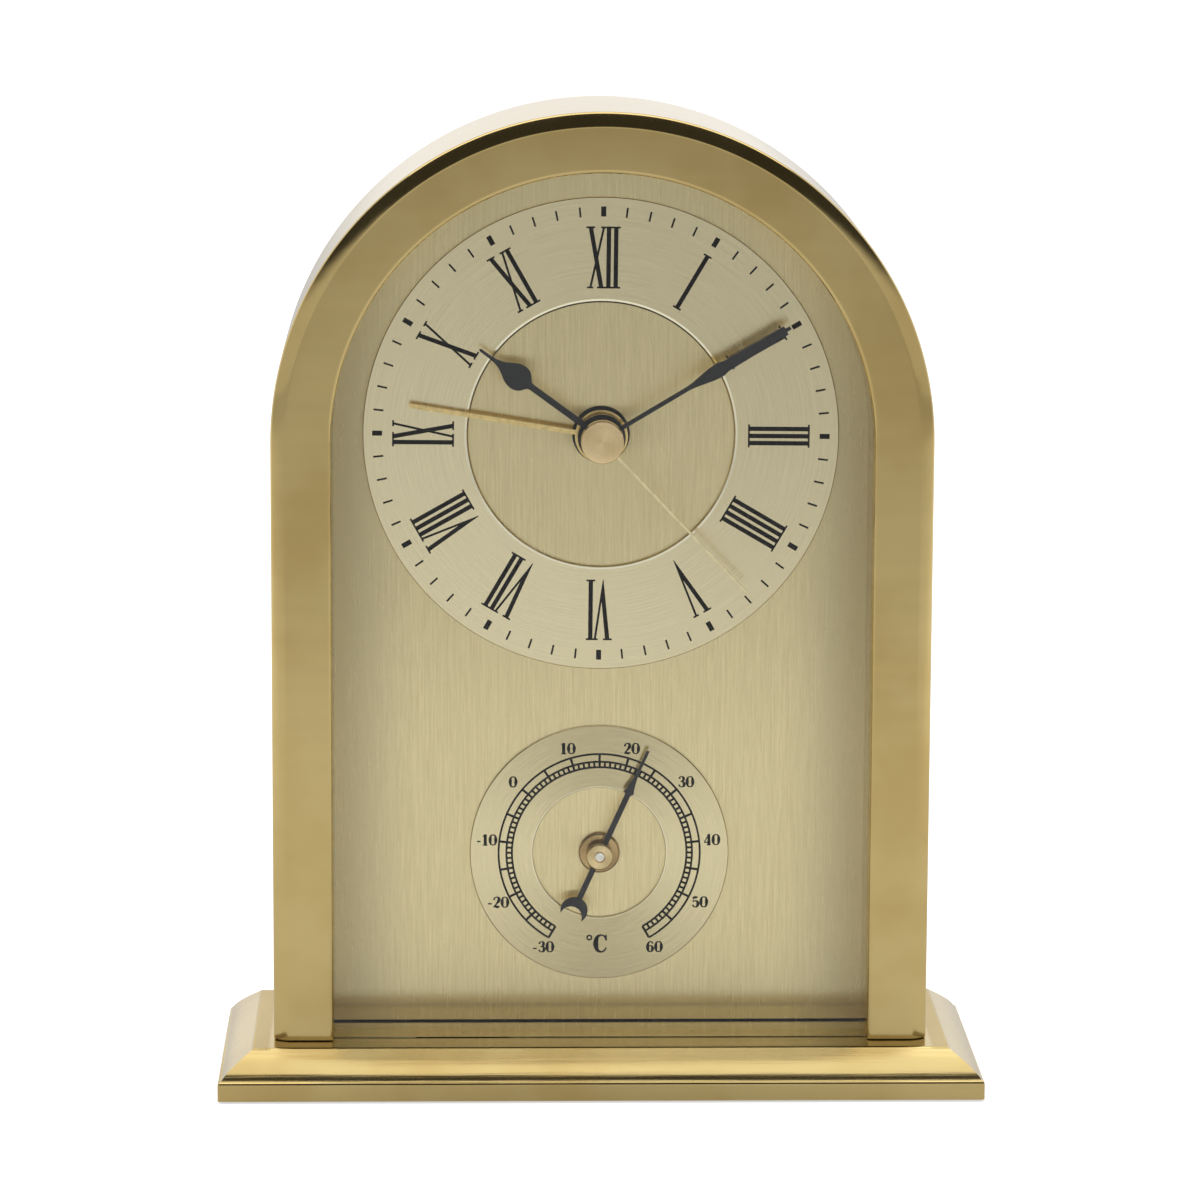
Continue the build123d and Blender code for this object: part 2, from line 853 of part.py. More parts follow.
def make_contact(side):
    wall = side * inner_half_width
    touch = side * (battery_length / 2 + thread_clearance)
    inner = wall - side * contact_thickness
    low = movement_front + shell_wall + fit_clearance
    high = shell_inside
    bend = battery_radius / 2
    strip = polygon(
        [
            (wall, low),
            (wall, high),
            (inner, high),
            (inner, battery_y + bend),
            (touch, battery_y + contact_thickness),
            (touch, battery_y - contact_thickness),
            (inner, battery_y - bend),
            (inner, low),
        ]
    )
    hollow = polygon(
        [
            (wall + side * past, battery_y + bend - contact_thickness),
            (inner, battery_y + bend - contact_thickness),
            (touch + side * contact_thickness, battery_y),
            (inner, battery_y - bend + contact_thickness),
            (wall + side * past, battery_y - bend + contact_thickness),
        ]
    )
    base = Pos(0, 0, battery_z - contact_height / 2)
    return extrude(base * strip, contact_height) - extrude(base * hollow, contact_height)


def make_battery():
    can = battery_length - battery_nub
    across = (0, 90, 0)
    body = Pos(-battery_nub / 2, 0, 0) * Cylinder(battery_radius, can, rotation=across)
    nub = Pos(can / 2, 0, 0) * Cylinder(battery_nub_radius, battery_nub, rotation=across)
    return Pos(0, battery_y, battery_z) * (body + nub)


# Gear train from the stepping rotor to the hands, each wheel in mesh at rest
second_phase = 0.0
third_wheel_phase = meshed_phase(second_phase, pinion_teeth, third_wheel_teeth, third_bearing)
intermediate_phase = meshed_phase(second_phase, second_wheel_teeth, pinion_teeth, intermediate_bearing)
rotor_phase = meshed_phase(intermediate_phase, rotor_wheel_teeth, pinion_teeth, rotor_bearing)
centre_phase = meshed_phase(third_wheel_phase, pinion_teeth, centre_wheel_teeth, third_bearing + 180)
cannon_phase = 0.0
minute_wheel_phase = meshed_phase(cannon_phase, cannon_teeth, minute_wheel_teeth, minute_wheel_bearing)
back_bearing = minute_wheel_bearing + 180
hour_phase = meshed_phase(minute_wheel_phase, minute_pinion_teeth, hour_wheel_teeth, back_bearing)
alarm_phase = 0.0
alarm_stem_phase = meshed_phase(alarm_phase, alarm_wheel_teeth, alarm_pinion_teeth, alarm_stem_bearing)
pivot_end = pivot_y + boss_length - 2 * pivot_clearance
plate_pivot = plate_y + 2 * pivot_clearance


def pinion_on(module, phase, at, wheel_front, thickness):
    front = wheel_front - pinion_overhang
    return gear(pinion_teeth, module, phase, at, front, wheel_front + thickness + pinion_overhang)


def make_rotor():
    arbor = rod(rotor_at, arbor_radius, plate_pivot, pivot_end)
    middle = stator_y + stator_thickness / 2
    magnet = rod(rotor_at, rotor_radius, middle - rotor_height / 2, middle + rotor_height / 2)
    return arbor + magnet + pinion_on(rotor_module, rotor_phase, rotor_at, intermediate_y, fine_wheel)


def make_intermediate_wheel():
    phase = intermediate_phase
    arbor = rod(intermediate_at, arbor_radius, plate_pivot, pivot_end)
    pinion = pinion_on(train_module, phase, intermediate_at, second_y, fine_wheel)
    back = intermediate_y + fine_wheel
    wheel = gear(rotor_wheel_teeth, rotor_module, phase, intermediate_at, intermediate_y, back)
    return arbor + pinion + wheel


cap_seat = panel_front - second_stand - hand_thickness
cap_disc = cap_seat - second_cap_boss
second_arbor_tip = cap_disc - second_cap_height / 2


def make_second_wheel():
    arbor = rod(centre_at, second_arbor_radius, second_arbor_tip, pivot_end)
    pinion = pinion_on(train_module, second_phase, centre_at, third_y, fine_wheel)
    wheel = gear(second_wheel_teeth, train_module, second_phase, centre_at, second_y, second_y + fine_wheel)
    return arbor + pinion + wheel


def make_third_wheel():
    arbor = rod(third_at, arbor_radius, plate_pivot, pivot_end)
    pinion = pinion_on(centre_module, third_wheel_phase, third_at, centre_y, front_wheel)
    back = third_y + fine_wheel
    wheel = gear(third_wheel_teeth, train_module, third_wheel_phase, third_at, third_y, back)
    return arbor + pinion + wheel


clutch_bore = minute_pipe_radius + pipe_clearance
clutch_y = centre_y + front_wheel
collar_y = clutch_y + clutch_thickness + pivot_clearance
collar_back = collar_y + stop_collar_thickness


def make_centre_wheel():
    wheel = gear(centre_wheel_teeth, centre_module, centre_phase, centre_at, centre_y, clutch_y)
    return wheel - bore(centre_at, clutch_bore, centre_y, clutch_y)


def make_clutch_spring():
    return tube(centre_at, clutch_bore + clutch_width, clutch_bore, clutch_y, clutch_y + clutch_thickness)


def make_clutch_collar():
    outer = minute_pipe_radius + stop_collar_width
    return tube(centre_at, outer, minute_pipe_radius, collar_y, collar_back)


def make_minute_pipe():
    front = panel_front - minute_stand - collar_length
    pipe = rod(centre_at, minute_pipe_radius, front, collar_back)
    cannon = gear(cannon_teeth, motion_module, cannon_phase, centre_at, cannon_y, cannon_y + cannon_length)
    return pipe + cannon - bore(centre_at, second_arbor_radius + pipe_clearance, front, collar_back)


def setting_arbor(at):
    floor = movement_front + shell_wall
    tip = floor - setting_pivot_depth + pivot_clearance
    end = movement_back + knob_gap + knob_height / 2
    pivot = rod(at, setting_pivot_radius, tip, floor + layer_gap)
    return pivot + rod(at, setting_arbor_radius, floor + layer_gap / 2, end)


def make_minute_wheel():
    at = minute_wheel_at
    phase = minute_wheel_phase
    pinion_front = hour_y - pinion_overhang
    wheel_front = cannon_y + pinion_overhang
    pinion = gear(minute_pinion_teeth, hour_module, phase, at, pinion_front, wheel_front)
    wheel = gear(minute_wheel_teeth, motion_module, phase, at, wheel_front, wheel_front + front_wheel)
    return setting_arbor(at) + pinion + wheel


def make_hour_wheel():
    front = panel_front - hour_stand - collar_length
    back = hour_y + front_wheel
    wheel = gear(hour_wheel_teeth, hour_module, hour_phase, centre_at, hour_y, back)
    hole = bore(centre_at, minute_pipe_radius + pipe_clearance, front, back)
    return wheel + rod(centre_at, hour_pipe_radius, front, back) - hole


def make_alarm_wheel():
    front = panel_front - alarm_hand_stand - collar_length
    back = alarm_y + front_wheel
    wheel = gear(alarm_wheel_teeth, alarm_module, alarm_phase, centre_at, alarm_y, back)
    hole = bore(centre_at, hour_pipe_radius + pipe_clearance, front, back)
    return wheel + rod(centre_at, alarm_pipe_radius, front, back) - hole


def make_alarm_stem():
    at = alarm_stem_at
    pinion = gear(alarm_pinion_teeth, alarm_module, alarm_stem_phase, at, alarm_y, alarm_y + front_wheel)
    return setting_arbor(at) + pinion


def make_knob(at, radius):
    front = movement_back + knob_gap
    knob = rod(at, radius, front, front + knob_height)
    for flute in range(knob_flutes):
        place = shifted(at, polar(radius, flute * 360 / knob_flutes))
        knob = knob - bore(place, knob_flute_radius, front, front + knob_height)
    return knob - rod(at, setting_arbor_radius, front - past, front + knob_height / 2)


def make_switch():
    x = switch_x
    z = dial_z + switch_z
    half = switch_stem / 2
    inner = shell_inside - switch_slider
    stem = block((x - half, x + half), (inner, movement_back + weld), (z - half, z + half))
    button_half = switch_button / 2
    outside = (movement_back + pivot_clearance, movement_back + pivot_clearance + switch_button_height)
    button = block((x - button_half, x + button_half), outside, (z - button_half, z + button_half))
    inside = (inner, shell_inside - pivot_clearance)
    slider = block((x - button_half, x + button_half), inside, (z - button_half, z + button_half))
    return stem + button + slider


# Hands
blade_front = -(collar_length + hand_thickness) / 2
blade_back = blade_front + hand_thickness


def collared(blade, eye_radius, pipe_radius, stand):
    eye = rod((0, 0), eye_radius, blade_front, blade_back)
    collar = rod((0, 0), pipe_radius + collar_wall, -collar_length, 0)
    hand = blade + eye + collar - bore((0, 0), pipe_radius, -collar_length, 0)
    return Pos(0, panel_front - stand, 0) * hand


def flat_blade(points):
    return prism(polygon(points), blade_front, blade_back)


def make_alarm_hand():
    half = alarm_hand_width / 2
    blade = flat_blade([(-half, 0), (half, 0), (half, alarm_hand_length), (-half, alarm_hand_length)])
    hand = collared(blade, alarm_eye_radius, alarm_pipe_radius, alarm_hand_stand)
    return turned(alarm_hand_angle, centre_at, hand)


def make_hour_hand():
    half = hour_hand_width / 2
    shaft = flat_blade([(-half, 0), (half, 0), (half, hour_bulb_place), (-half, hour_bulb_place)])
    neck = hour_neck_width / 2
    side = math.acos(hour_bulb_radius / (hour_neck_place - hour_bulb_place))
    shoulder = (hour_bulb_radius * math.sin(side), hour_bulb_place + hour_bulb_radius * math.cos(side))
    spade = flat_blade(
        [
            (0, hour_bulb_place),
            shoulder,
            (neck, hour_neck_place),
            (0, hour_hand_length),
            (-neck, hour_neck_place),
            (-shoulder[0], shoulder[1]),
        ]
    )
    bulb = rod((0, hour_bulb_place), hour_bulb_radius, blade_front, blade_back)
    hand = collared(shaft + spade + bulb, hour_eye_radius, hour_pipe_radius, hour_stand)
    return turned(hour_hand_angle, centre_at, hand)


def make_minute_hand():
    right = [
        (minute_hand_width / 2, 0),
        (minute_hand_width / 2, minute_leaf_start),
        (minute_leaf_width / 2, minute_leaf_place),
        (minute_tip_width / 2, minute_hand_length),
    ]
    left = [(-x, z) for x, z in reversed(right)]
    hand = collared(flat_blade(right + left), minute_eye_radius, minute_pipe_radius, minute_stand)
    return turned(minute_hand_angle, centre_at, hand)


def make_second_hand():
    root = second_hand_width / 2
    tip = second_tip_width / 2
    points = [(-root, 0), (root, 0), (tip, second_hand_length), (-tip, second_hand_length)]
    front = panel_front - second_stand - hand_thickness
    back = panel_front - second_stand
    hand = prism(polygon(points), front, back) + rod((0, 0), second_eye_radius, front, back)
    hand = hand - bore((0, 0), second_arbor_radius, front, back)
    return turned(second_hand_angle, centre_at, hand)


def make_second_cap():
    front = cap_disc - second_cap_height
    cap = rod(centre_at, second_cap_radius, front, cap_disc)
    cap = cap + rod(centre_at, second_cap_boss_radius, cap_disc - weld, cap_seat)
    return cap - rod(centre_at, second_arbor_radius, second_arbor_tip, cap_seat + past)


# Thermometer: pointer on an arbor in the panel's bush, turned by a spiral strip behind the panel
thermo_angle = (thermometer_reading - scale_middle) * degrees_per_celsius
pointer_front = panel_front - pointer_stand - hand_thickness
bush_back = panel_back + thermo_bush_length
bimetal_front = bush_back + bimetal_gap
bimetal_back = bimetal_front + bimetal_width
bracket_front = bimetal_back + bimetal_gap
bracket_back = bracket_front + bracket_thickness
spiral_grow = bimetal_pitch / 2
hub_radius = bimetal_start - bimetal_thickness / 2 - thread_clearance


def make_thermo_bush():
    front = panel_front - thermo_bush_flange
    flange = rod(thermo_at, thermo_bush_flange_radius, front, panel_front)
    barrel = rod(thermo_at, thermo_bush_radius, panel_front - weld, bush_back)
    return flange + barrel - bore(thermo_at, thermo_arbor_radius + pivot_clearance, front, bush_back)


def make_thermo_arbor():
    front = pointer_front - thermo_cap_height
    arbor = rod(thermo_at, thermo_arbor_radius, front, bracket_back)
    hub = rod(thermo_at, hub_radius, bush_back + pivot_clearance, bracket_front - pivot_clearance)
    return arbor + hub


def make_pointer():
    back = pointer_front + hand_thickness
    half = pointer_width / 2
    barb = pointer_barb_width / 2
    tail = -crescent_place
    shaft = polygon([(-half, tail), (half, tail), (half, pointer_barb_place), (-half, pointer_barb_place)])
    arrow = polygon([(-barb, pointer_barb_place), (barb, pointer_barb_place), (0, pointer_length)])
    moon = Pos(0, tail) * Circle(crescent_radius)
    bite = Pos(0, tail - crescent_bite_shift) * Circle(crescent_bite_radius)
    blade = joined([prism(face, pointer_front, back) for face in (shaft, arrow, moon)])
    blade = blade - prism(bite, pointer_front - past, back + past)
    blade = blade + rod((0, 0), pointer_eye_radius, pointer_front, back)
    blade = blade - bore((0, 0), thermo_arbor_radius, pointer_front, back)
    return turned(thermo_angle, thermo_at, blade)


def make_thermo_cap():
    front = pointer_front - thermo_cap_height
    return tube(thermo_at, thermo_cap_radius, thermo_arbor_radius, front, pointer_front)


def spiral_arcs(offset):
    arcs = []
    centre = 0.0
    radius = bimetal_start
    side = 1
    for half_turn in range(2 * bimetal_turns):
        reach = radius + offset
        start = (centre - side * reach, 0)
        end = (centre + side * reach, 0)
        arcs.append((start, (centre, side * reach), end))
        centre = centre - side * spiral_grow
        radius = radius + spiral_grow
        side = -side
    return arcs


def make_bimetal():
    outside = spiral_arcs(bimetal_thickness / 2)
    inside = spiral_arcs(-bimetal_thickness / 2)
    edges = [ThreePointArc(*arc) for arc in outside + inside]
    edges.append(Line(outside[0][0], inside[0][0]))
    edges.append(Line(outside[-1][2], inside[-1][2]))
    strip = prism(make_face(edges), bimetal_front, bimetal_back)
    return Pos(thermo_at[0], 0, thermo_at[1]) * strip


def make_bracket():
    half = bracket_width / 2
    span = bracket_half_span
    height = (thermo_z - half, thermo_z + half)
    bracket = block((-span, span), (bracket_front, bracket_back), height)
    for side in (-1, 1):
        leg = sorted((side * span, side * (span - bracket_thickness)))
        bracket = bracket + block(leg, (panel_back, bracket_back), height)
        foot = sorted((side * (span - bracket_thickness), side * (span + bracket_foot)))
        bracket = bracket + block(foot, (panel_back, panel_back + bracket_thickness), height)
    end = spiral_arcs(bimetal_thickness / 2)[-1][2]
    toward = math.copysign(1, end[0])
    anchor = (end[0] + toward * (anchor_radius + thread_clearance), thermo_z)
    bracket = bracket + rod(anchor, anchor_radius, bimetal_front, bracket_front + weld)
    foot_back = panel_back + bracket_thickness
    for at in bracket_feet:
        bracket = bracket - bore(at, stud_radius + thread_clearance, panel_back, foot_back)
    return bracket - bore(thermo_at, thermo_arbor_radius + pivot_clearance, bracket_front, bracket_back)


parts["base_plinth"] = make_plinth()
parts["base_felt"] = make_felt()
parts["base_screws"] = make_base_screws()
parts["arch_case"] = make_case()
parts["front_glass"] = make_glass()
parts["dial_panel"] = make_panel()
parts["chapter_ring"] = make_chapter_ring()
parts["thermometer_ring"] = make_scale_ring()
parts["panel_pillars"] = make_pillars()
parts["back_cover"] = make_back_cover()
parts["back_cover_screws"] = make_cover_screws()
parts["stud_nuts"] = make_nuts()
parts["movement_front_shell"] = make_front_shell()
parts["movement_back_shell"] = make_back_shell()
parts["movement_screws"] = make_case_screws()
parts["train_plate"] = make_train_plate()
parts["stator"] = make_stator()
parts["coil_core"] = make_coil_core()
parts["coil_bobbin"] = make_bobbin()
parts["coil_winding"] = make_winding()
parts["circuit_board"] = make_board()
parts["timing_crystal"] = make_crystal()
parts["driver_chip"] = make_chip()
parts["buzzer"] = make_buzzer()
parts["battery_contact_positive"] = make_contact(1)
parts["battery_contact_negative"] = make_contact(-1)
parts["battery"] = make_battery()
parts["rotor"] = make_rotor()
parts["intermediate_wheel"] = make_intermediate_wheel()
parts["second_wheel"] = make_second_wheel()
parts["third_wheel"] = make_third_wheel()
parts["centre_wheel"] = make_centre_wheel()
parts["clutch_spring"] = make_clutch_spring()
parts["clutch_collar"] = make_clutch_collar()
parts["minute_pipe"] = make_minute_pipe()
parts["minute_wheel"] = make_minute_wheel()
parts["hour_wheel"] = make_hour_wheel()
parts["alarm_wheel"] = make_alarm_wheel()
parts["alarm_stem"] = make_alarm_stem()
parts["time_set_knob"] = make_knob(minute_wheel_at, time_knob_radius)
parts["alarm_set_knob"] = make_knob(alarm_stem_at, alarm_knob_radius)
parts["alarm_switch"] = make_switch()
parts["alarm_hand"] = make_alarm_hand()
parts["hour_hand"] = make_hour_hand()
parts["minute_hand"] = make_minute_hand()
parts["second_hand"] = make_second_hand()
parts["second_hand_cap"] = make_second_cap()
parts["thermometer_bush"] = make_thermo_bush()
parts["thermometer_arbor"] = make_thermo_arbor()
parts["thermometer_pointer"] = make_pointer()
parts["thermometer_cap"] = make_thermo_cap()
parts["bimetal_coil"] = make_bimetal()
parts["thermometer_bracket"] = make_bracket()

os.makedirs("parts", exist_ok=True)
for name, shape in parts.items():
    export_step(shape, f"parts/{name}.step")
print(len(parts), "parts written")
print("movement back", round(movement_back, 2), "cover front", round(cover_front, 2))
print("thermometer pointer at", round(thermo_angle, 1), "degrees from the top")
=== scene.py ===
import json
import math
import bmesh
import bpy
from mathutils import Matrix, Vector

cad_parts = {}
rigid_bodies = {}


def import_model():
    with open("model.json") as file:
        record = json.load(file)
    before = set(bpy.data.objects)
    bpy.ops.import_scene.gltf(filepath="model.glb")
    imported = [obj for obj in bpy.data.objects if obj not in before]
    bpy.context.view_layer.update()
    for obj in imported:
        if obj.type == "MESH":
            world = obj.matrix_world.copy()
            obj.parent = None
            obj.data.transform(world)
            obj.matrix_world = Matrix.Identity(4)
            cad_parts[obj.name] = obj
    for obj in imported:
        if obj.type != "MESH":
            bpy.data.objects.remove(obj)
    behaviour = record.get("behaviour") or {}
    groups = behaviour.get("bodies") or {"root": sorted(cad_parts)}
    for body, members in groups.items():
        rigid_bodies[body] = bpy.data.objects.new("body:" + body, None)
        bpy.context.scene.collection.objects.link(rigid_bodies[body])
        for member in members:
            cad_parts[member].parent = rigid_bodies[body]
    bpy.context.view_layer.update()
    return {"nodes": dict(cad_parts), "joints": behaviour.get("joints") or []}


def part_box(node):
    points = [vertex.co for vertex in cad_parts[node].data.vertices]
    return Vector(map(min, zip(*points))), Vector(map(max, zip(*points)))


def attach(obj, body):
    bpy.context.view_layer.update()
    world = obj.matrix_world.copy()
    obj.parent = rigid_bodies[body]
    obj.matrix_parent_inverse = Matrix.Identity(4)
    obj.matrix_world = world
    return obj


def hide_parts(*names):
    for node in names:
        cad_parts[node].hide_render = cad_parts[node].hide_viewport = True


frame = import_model()
scene = bpy.context.scene
mm = 0.001
hair = 0.01 * mm  # room for rounding when faces and edges are picked by place
weld = 0.0005 * mm  # points closer than this are merged


def jointPlace(name):
    return next(Vector(joint["pos_m"]) for joint in frame["joints"] if joint["name"] == name)


# Places that the frame gives: the two dial centres, and the front of the plate behind them
dialAt = jointPlace("minute_hand_turn")
thermoAt = jointPlace("thermometer_pointer_turn")
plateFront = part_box("dial_panel")[0].y
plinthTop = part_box("base_plinth")[1].z
print("frame loaded with", len(frame["nodes"]), "nodes")

# Camera, fitted to the photograph
cameraSet = {
    "azimuth": -1.61,
    "elevation": 10.03,
    "distance": 892 * mm,
    "target": (0.02 * mm, 0, 81.94 * mm),
    "lens": 156.0,
    "sensor": 36.0,
    "roll": 0.26,
    "clip": (0.05, 60.0),
}


def makeCamera():
    turn = math.radians(cameraSet["azimuth"])
    lift = math.radians(cameraSet["elevation"])
    roll = math.radians(cameraSet["roll"])
    back = Vector((math.sin(turn) * math.cos(lift), -math.cos(turn) * math.cos(lift), math.sin(lift)))
    right = Vector((0, 0, 1)).cross(back).normalized()
    up = back.cross(right)
    across = math.cos(roll) * right + math.sin(roll) * up
    above = math.cos(roll) * up - math.sin(roll) * right
    bpy.ops.object.camera_add()
    camera = bpy.context.object
    camera.data.lens = cameraSet["lens"]
    camera.data.sensor_width = cameraSet["sensor"]
    camera.data.clip_start, camera.data.clip_end = cameraSet["clip"]
    place = Vector(cameraSet["target"]) + cameraSet["distance"] * back
    camera.matrix_world = Matrix.Translation(place) @ Matrix((across, above, back)).transposed().to_4x4()
    scene.camera = camera


# Shader wiring: a Wire is one output socket, and sums on it add their own nodes
class Wire:
    def __init__(self, tree, socket=None):
        self.tree = tree
        self.socket = socket

    def node(self, kind, settings=None, sockets=None, out=0):
        made = self.tree.nodes.new(kind)
        for name, value in (settings or {}).items():
            setattr(made, name, value)
        for name, value in (sockets or {}).items():
            if isinstance(value, Wire):
                self.tree.links.new(value.socket, made.inputs[name])
            else:
                made.inputs[name].default_value = value
        return Wire(self.tree, made.outputs[out] if made.outputs else None)

    def maths(self, operation, first, second=0.0):
        return self.node("ShaderNodeMath", {"operation": operation}, {0: first, 1: second})

    def __add__(self, other):
        return self.maths("ADD", self, other)

    def __radd__(self, other):
        return self.maths("ADD", other, self)

    def __sub__(self, other):
        return self.maths("SUBTRACT", self, other)

    def __rsub__(self, other):
        return self.maths("SUBTRACT", other, self)

    def __mul__(self, other):
        return self.maths("MULTIPLY", self, other)

    def __rmul__(self, other):
        return self.maths("MULTIPLY", other, self)

    def __truediv__(self, other):
        return self.maths("DIVIDE", self, other)

    def power(self, other):
        return self.maths("POWER", self, other)

    def step(self, low, high):  # 0 below low, 1 above high, smooth between
        return self.node(
            "ShaderNodeMapRange",
            {"interpolation_type": "SMOOTHSTEP"},
            {"Value": self, "From Min": low, "From Max": high},
        )


def newTree(name):
    material = bpy.data.materials.new(name)
    material.use_nodes = True
    material.node_tree.nodes.clear()
    return material, Wire(material.node_tree)


def close(start, colour, rough, metal=0.0, relief=None, more=None):
    # the shader and its output: relief is a bump's height and distance, more holds plain values
    sockets = {"Base Color": colour, "Roughness": rough, "Metallic": metal, **(more or {})}
    if relief:
        height, distance = relief
        bump = {"Height": height, "Distance": distance, "Strength": 1.0}
        sockets["Normal"] = start.node("ShaderNodeBump", None, bump)
    shader = start.node("ShaderNodeBsdfPrincipled", None, sockets)
    start.node("ShaderNodeOutputMaterial", None, {"Surface": shader})


def stretched(start, scale, centre=(0, 0, 0)):
    coords = start.node("ShaderNodeTexCoord", None, None, "Object")
    place = [-c * s for c, s in zip(centre, scale)]
    return start.node("ShaderNodeMapping", None, {"Vector": coords, "Location": place, "Scale": scale})


def noise(start, scale, detail=2.0, rough=0.5):
    # scale is how fine it is along x, y and z, or a wire that gives the place
    vector = scale if isinstance(scale, Wire) else stretched(start, scale)
    sockets = {"Vector": vector, "Scale": 1.0, "Detail": detail, "Roughness": rough}
    return start.node("ShaderNodeTexNoise", None, sockets)


def split(start, vector):
    parts = start.node("ShaderNodeSeparateXYZ", None, {"Vector": vector})
    return [Wire(start.tree, socket) for socket in parts.socket.node.outputs]


def objectPlace(start, centre=(0, 0, 0)):
    return split(start, stretched(start, (1, 1, 1), centre))


def ray(start, kind):
    return start.node("ShaderNodeLightPath", None, None, "Is " + kind + " Ray")


def tint(start, factor, dark, light):
    # mixes two colours, each plain numbers or another wire
    dark, light = (c if isinstance(c, Wire) else (*c, 1.0) for c in (dark, light))
    return start.node("ShaderNodeMix", {"data_type": "RGBA"}, {"Factor": factor, 6: dark, 7: light}, 2)


def polarGrain(start, centre):
    # distance from the dial's centre and the angle round it, both from object coordinates
    x, y, z = objectPlace(start, centre)
    away = (x * x + z * z).power(0.5)
    around = start.maths("ARCTAN2", x, z)
    return away, around


# Finishes: each noise is given as its fineness along x, y and z, then its detail and roughness
brass = {
    "colour": (0.61, 0.47, 0.205),
    "worn": (0.54, 0.395, 0.155),
    "rough": 0.13,
    "roughSpread": 0.08,
    "cloud": ((45, 45, 45), 3.0, 0.55),
    "cloudEdge": (0.3, 0.62),
    "waves": ((26, 210, 210), 1.0),
    "waveDepth": 0.05 * mm,
    "grain": ((1500, 1500, 90), 3.0, 0.6),
    "grainDepth": 0.0012 * mm,
}


def cloudyBrass(start):
    cloud = noise(start, *brass["cloud"])
    return cloud, tint(start, cloud.step(*brass["cloudEdge"]), brass["worn"], brass["colour"])


def makePolishedBrass():
    material, start = newTree("polishedBrass")
    waves = noise(start, *brass["waves"])
    grain = noise(start, *brass["grain"])
    cloud, colour = cloudyBrass(start)
    height = waves * brass["waveDepth"] + grain * brass["grainDepth"]
    rough = brass["rough"] + (cloud + grain) * brass["roughSpread"] - brass["roughSpread"]
    close(start, colour, rough, 1.0, (height, 1.0))
    return material


plinthFinish = {
    "waves": ((14, 260, 260), 2.0),
    "waveDepth": 0.05 * mm,
    "streaks": ((35, 1300, 1300), 3.0, 0.6),
    "streakDepth": 0.022 * mm,
    "ends": (56.0 * mm, 57.0 * mm),
    "topSkin": (0.4 * mm, 0.1 * mm),
    "speckle": ((1300, 2600, 400), 3.0, 0.7),
    "speckleDepth": 0.09 * mm,
    "endRough": 0.2,
}


def makePlinthBrass():
    # as the arch, with streaks along it and a cast texture on top outside the arch's feet
    material, start = newTree("plinthBrass")
    waves = noise(start, *plinthFinish["waves"])
    streaks = noise(start, *plinthFinish["streaks"])
    colour = cloudyBrass(start)[1]
    x, y, z = objectPlace(start)
    ends = start.maths("ABSOLUTE", x).step(*plinthFinish["ends"])
    ends = ends * z.step(*(plinthTop - skin for skin in plinthFinish["topSkin"]))
    speckle = noise(start, *plinthFinish["speckle"])
    height = waves * plinthFinish["waveDepth"] + streaks * plinthFinish["streakDepth"]
    height = height + speckle * ends * plinthFinish["speckleDepth"]
    rough = brass["rough"] + streaks * brass["roughSpread"] + ends * plinthFinish["endRough"]
    close(start, colour, rough, 1.0, (height, 1.0))
    return material


plateFinish = {
    "colour": (0.866, 0.740, 0.423),
    "dark": (0.764, 0.644, 0.362),
    "rough": 0.27,
    "roughSpread": 0.03,
    "grain": ((5600, 5600, 180), 2.0, 0.7),
    "longGrain": ((4200, 4200, 80), 3.0, 0.65),
    "grainEdge": (0.34, 0.66),
    "depth": 0.0002 * mm,
    "anisotropic": 1.0,
    # sides and paintedSideShade: painted shade, the colour darker towards the plate's sides where the recess
    # is shaded
    "sides": (30 * mm, 46 * mm),
    "paintedSideShade": 0.33,
}


def makeBrushedPlate():
    material, start = newTree("brushedPlate")
    fine = noise(start, *plateFinish["grain"])
    mixed = (fine + noise(start, *plateFinish["longGrain"])) * 0.5
    x, y, z = objectPlace(start)
    # painted shade: the colour is written darker towards the plate's sides, where the recess is in shade
    side = start.maths("ABSOLUTE", x).step(*plateFinish["sides"])
    brushed = tint(start, mixed.step(*plateFinish["grainEdge"]), plateFinish["dark"], plateFinish["colour"])
    sideShadedColour = tuple(value * (1 - plateFinish["paintedSideShade"]) for value in plateFinish["colour"])
    rough = plateFinish["rough"] + (mixed - 0.5) * plateFinish["roughSpread"]
    more = {"Anisotropic": plateFinish["anisotropic"]}
    close(start, tint(start, side, brushed, sideShadedColour), rough, 1.0, (fine, plateFinish["depth"]), more)
    return material


# sheen, sheenTurn and lobes paint a sheen into the colour: lighter and darker sides round the centre, a
# painted reflection of the turned finish
ringFinish = {
    "colour": (0.95, 0.84, 0.55),
    "dark": (0.67, 0.575, 0.355),
    "rough": 0.21,
    "roughSpread": 0.25,
    "level": 0.58,
    "pitch": 5200,
    "wander": 2.6,
    "depth": 0.012 * mm,
    "groove": 0.75,
    "sheen": 0.22,
    "sheenTurn": -0.75 * math.pi,
    "lobes": 1.0,
}
scaleFinish = {
    **ringFinish,
    "colour": (0.85, 0.74, 0.45),
    "dark": (0.52, 0.44, 0.25),
    "sheen": 0.34,
    "sheenTurn": -math.pi / 2,
    "lobes": 2.0,
}


def makeTurnedRing(name, centre, finish):
    material, start = newTree(name)
    away, around = polarGrain(start, centre)
    turned = {"X": away * finish["pitch"], "Y": around * finish["wander"], "Z": 0.0}
    fine = noise(start, start.node("ShaderNodeCombineXYZ", None, turned), 3.0, 0.65)
    # painted sheen: the colour is made lighter and darker by the angle round the centre
    sheen = start.maths("SINE", around * finish["lobes"] + finish["sheenTurn"])  # bright and dull sides
    tone = finish["level"] + (fine - 0.5) * finish["groove"] + sheen * finish["sheen"]
    rough = finish["rough"] + (fine - 0.5) * finish["roughSpread"]
    close(start, tint(start, tone, finish["dark"], finish["colour"]), rough, 1.0, (fine, finish["depth"]))
    return material


